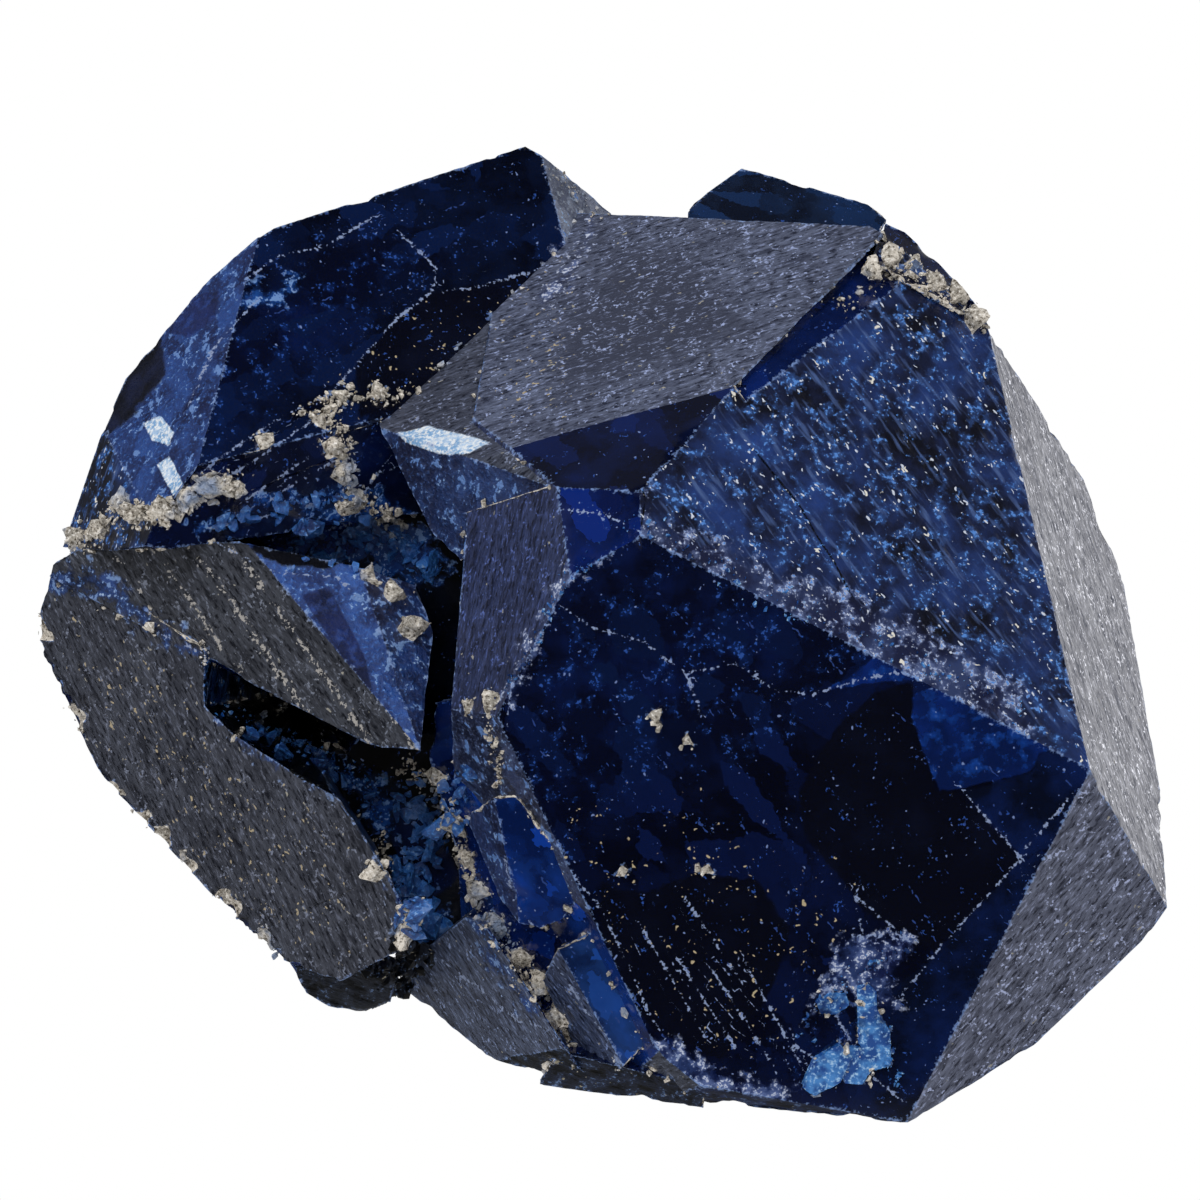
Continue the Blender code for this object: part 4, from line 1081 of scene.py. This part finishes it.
# Dark rubble: broken crystal in the notch between the block and the low crystals, coloured near black as
# painted shade of the notch. It is made to look right from the front. Seen from above, some of its grains
# hang free in the gap before the stone.
grains_piece("dark_rubble", grains_between((-5.2, -8.1), (-4.0, -8.15), 60, 0.12, 0.3)
             + grains_between((-4.8, -8.4), (-4.3, -8.55), 50, 0.12, 0.3)
             + grains_between((-4.55, -7.6), (-3.8, -7.85), 50, 0.12, 0.3), STRIATED)

# Blue rubble: broken blue crystal, wedged in the hollow under the upper-left crystal and in the seam
# between the block and the main crystal.
grains_piece("blue_rubble", grains_along([
    ([(-6.9, 1.3), (-5.9, 1.3), (-5.0, 1.5), (-4.3, 1.2), (-3.7, 0.7)], 0.2, 26, 0.12, 0.55),
    ([(-8.6, 1.5), (-7.4, 2.0), (-6.2, 2.3), (-5.3, 2.2)], 0.12, 12, 0.1, 0.4),
    ([(-4.3, -4.2), (-4.0, -4.6), (-3.7, -5.2), (-4.2, -5.9), (-4.1, -6.8), (-3.7, -7.4)],
     0.25, 34, 0.12, 0.55),
    ([(-7.8, -2.8), (-6.8, -3.2), (-5.7, -3.8), (-4.9, -4.6)], 0.12, 14, 0.08, 0.32),
    ([(-2.9, -3.6), (-3.2, -4.4), (-3.1, -5.2)], 0.12, 22, 0.08, 0.36),
]), FROSTED, "#2c64b0")

# Broken crystal: splinters of the group's own pale and frosted crystal, caught on its bruised edges.
grains_piece("crystal_crumbs", grains_along([
    ([(0.4, 1.6), (1.4, 1.5), (2.8, 0.6), (4.0, -0.1), (5.4, -0.6), (6.6, -1.1), (8.0, -1.8), (9.4, -2.4)],
     0.16, 14, 0.03, 0.12),
    ([(-8.5, -2.4), (-6.8, -3.0), (-5.6, -3.6), (-4.6, -4.2)], 0.1, 24, 0.03, 0.12),
    ([(-4.4, -5.6), (-4.3, -6.6), (-3.8, -7.4)], 0.12, 24, 0.03, 0.12),
    ([(-2.3, -2.3), (-1.6, -1.2), (-0.8, 0.4), (0.0, 1.0)], 0.08, 16, 0.03, 0.1),
    ([(4.4, -9.6), (5.4, -8.4), (6.4, -8.0), (6.8, -7.6)], 0.12, 20, 0.03, 0.14),
    ([(6.2, -9.2), (6.4, -10.0), (6.6, -10.9)], 0.1, 26, 0.03, 0.12),
]), PALE)

# Floor: a white acrylic light table. The camera sees it white all over. What the stone mirrors of it is
# brightest to the right and behind, and nearly black to the left and in front, in mm from the middle.
FLOOR_RADIUS = 65
FLOOR_DROP = 0.02
LEFT_TO_RIGHT = (-15, 5)
FRONT_TO_BACK = (-15, 2)
MIRRORED_LEFT = 0.04
MIRRORED_RIGHT = 0.3
MIRRORED_FRONT = 0.03
SOFT_FLOOR_LIGHT = 0.7
bpy.ops.mesh.primitive_circle_add(
    vertices=96, radius=FLOOR_RADIUS * MM, fill_type="NGON", location=(0, 0, -FLOOR_DROP * MM))
floor = bpy.context.object
floor.name = "floor"
acrylic = bpy.data.materials.new("lit_white_acrylic")
acrylic.use_nodes = True
tree = acrylic.node_tree
tree.nodes.clear()
metres = add(tree, "ShaderNodeTexCoord", (), "Object")
beside = add(tree, "ShaderNodeSeparateXYZ", [(0, metres)], "X")
back = beside.node.outputs["Y"]
light = add(tree, "ShaderNodeMapRange", [
    ("Value", beside), ("From Min", LEFT_TO_RIGHT[0] * MM), ("From Max", LEFT_TO_RIGHT[1] * MM),
    ("To Min", MIRRORED_LEFT), ("To Max", MIRRORED_RIGHT)])
not_in_front = add(tree, "ShaderNodeMapRange", [
    ("Value", back), ("From Min", FRONT_TO_BACK[0] * MM), ("From Max", FRONT_TO_BACK[1] * MM),
    ("To Min", MIRRORED_FRONT), ("To Max", 1.0)], interpolation_type="SMOOTHSTEP")
light = add(tree, "ShaderNodeMath", [(0, light), (1, not_in_front)], operation="MULTIPLY")
floor_path = add(tree, "ShaderNodeLightPath", (), "Is Camera Ray")
soft_light = add(tree, "ShaderNodeMath", [
    (0, floor_path.node.outputs["Is Diffuse Ray"]), (1, SOFT_FLOOR_LIGHT)], operation="MULTIPLY")
light = add(tree, "ShaderNodeMath", [(0, light), (1, soft_light)], operation="MAXIMUM")
seen_light = add(tree, "ShaderNodeMath", [(0, floor_path), (1, light)], operation="MAXIMUM")
glow = add(tree, "ShaderNodeEmission", [("Strength", seen_light)])
add(tree, "ShaderNodeOutputMaterial", [("Surface", glow)])
floor.data.materials.append(acrylic)

# Studio: a soft white tent, which lights the stone evenly from all round. What the stone mirrors is dim
# apart from a few soft panels, so that the glassy faces show their blue and the satin ones a sheen. Each
# panel has its direction, the angles in degrees between which it fades out, and its strength.
PANELS = [
    ((-0.3, 0.7, 0.75), 10, 40, 0.05),
    ((-1.0, 0.1, 0.1), 20, 55, 0.08),
    ((1.0, 0.6, -0.1), 20, 55, 0.4),
    ((-0.7, 0.5, 0.3), 10, 30, 0.05),
]
DIM = 0.01
SOFT_LIGHT = 0.85
world = bpy.data.worlds.new("studio")
world.use_nodes = True
bpy.context.scene.world = world
tree = world.node_tree
tree.nodes.clear()
looking = add(tree, "ShaderNodeTexCoord", (), "Generated")
glow = DIM
for direction, inner, outer, strength in PANELS:
    near = add(tree, "ShaderNodeVectorMath", [(0, looking), (1, Vector(direction).normalized())],
               "Value", operation="DOT_PRODUCT")
    soft = add(tree, "ShaderNodeMapRange", [
        ("Value", near), ("From Min", math.cos(math.radians(outer))),
        ("From Max", math.cos(math.radians(inner))), ("To Min", 0.0), ("To Max", strength)],
        interpolation_type="SMOOTHSTEP")
    glow = add(tree, "ShaderNodeMath", [(0, glow), (1, soft)], operation="MAXIMUM")
light_path = add(tree, "ShaderNodeLightPath", (), "Is Camera Ray")
diffuse = light_path.node.outputs["Is Diffuse Ray"]
soft_light = add(tree, "ShaderNodeMath", [(0, diffuse), (1, SOFT_LIGHT)], operation="MULTIPLY")
strength = add(tree, "ShaderNodeMath", [(0, glow), (1, soft_light)], operation="MAXIMUM")
strength = add(tree, "ShaderNodeMath", [(0, strength), (1, light_path)], operation="MAXIMUM")
tent = add(tree, "ShaderNodeBackground", [("Color", (1, 1, 1, 1)), ("Strength", strength)])
add(tree, "ShaderNodeOutputWorld", [("Surface", tent)])

KEY_PLACE = (-0.048, -0.064, 0.123)
KEY_AIM = (0, 0, 0.008)
key = bpy.data.lights.new("key", "AREA")
key.energy = 0.05
key.size = 0.05
key_lamp = bpy.data.objects.new("key", key)
bpy.context.scene.collection.objects.link(key_lamp)
key_lamp.location = KEY_PLACE
key_lamp.rotation_euler = (Vector(KEY_AIM) - key_lamp.location).to_track_quat("-Z", "Y").to_euler()
key_lamp.visible_glossy = False
bpy.context.scene.view_settings.view_transform = "Standard"

# Camera: 100 mm from the middle of the stone, 25 degrees above it.
SIGHT_WIDTH = 26.5
lens = bpy.data.cameras.new("camera")
lens.sensor_width = 36
lens.lens = lens.sensor_width * EYE_DISTANCE / SIGHT_WIDTH
lens.clip_start = 0.001
lens.clip_end = 10
camera = bpy.data.objects.new("camera", lens)
bpy.context.scene.collection.objects.link(camera)
camera.location = Vector(EYE) * MM
camera.rotation_euler = Vector(-NEARER).to_track_quat("-Z", "Y").to_euler()
bpy.context.scene.camera = camera
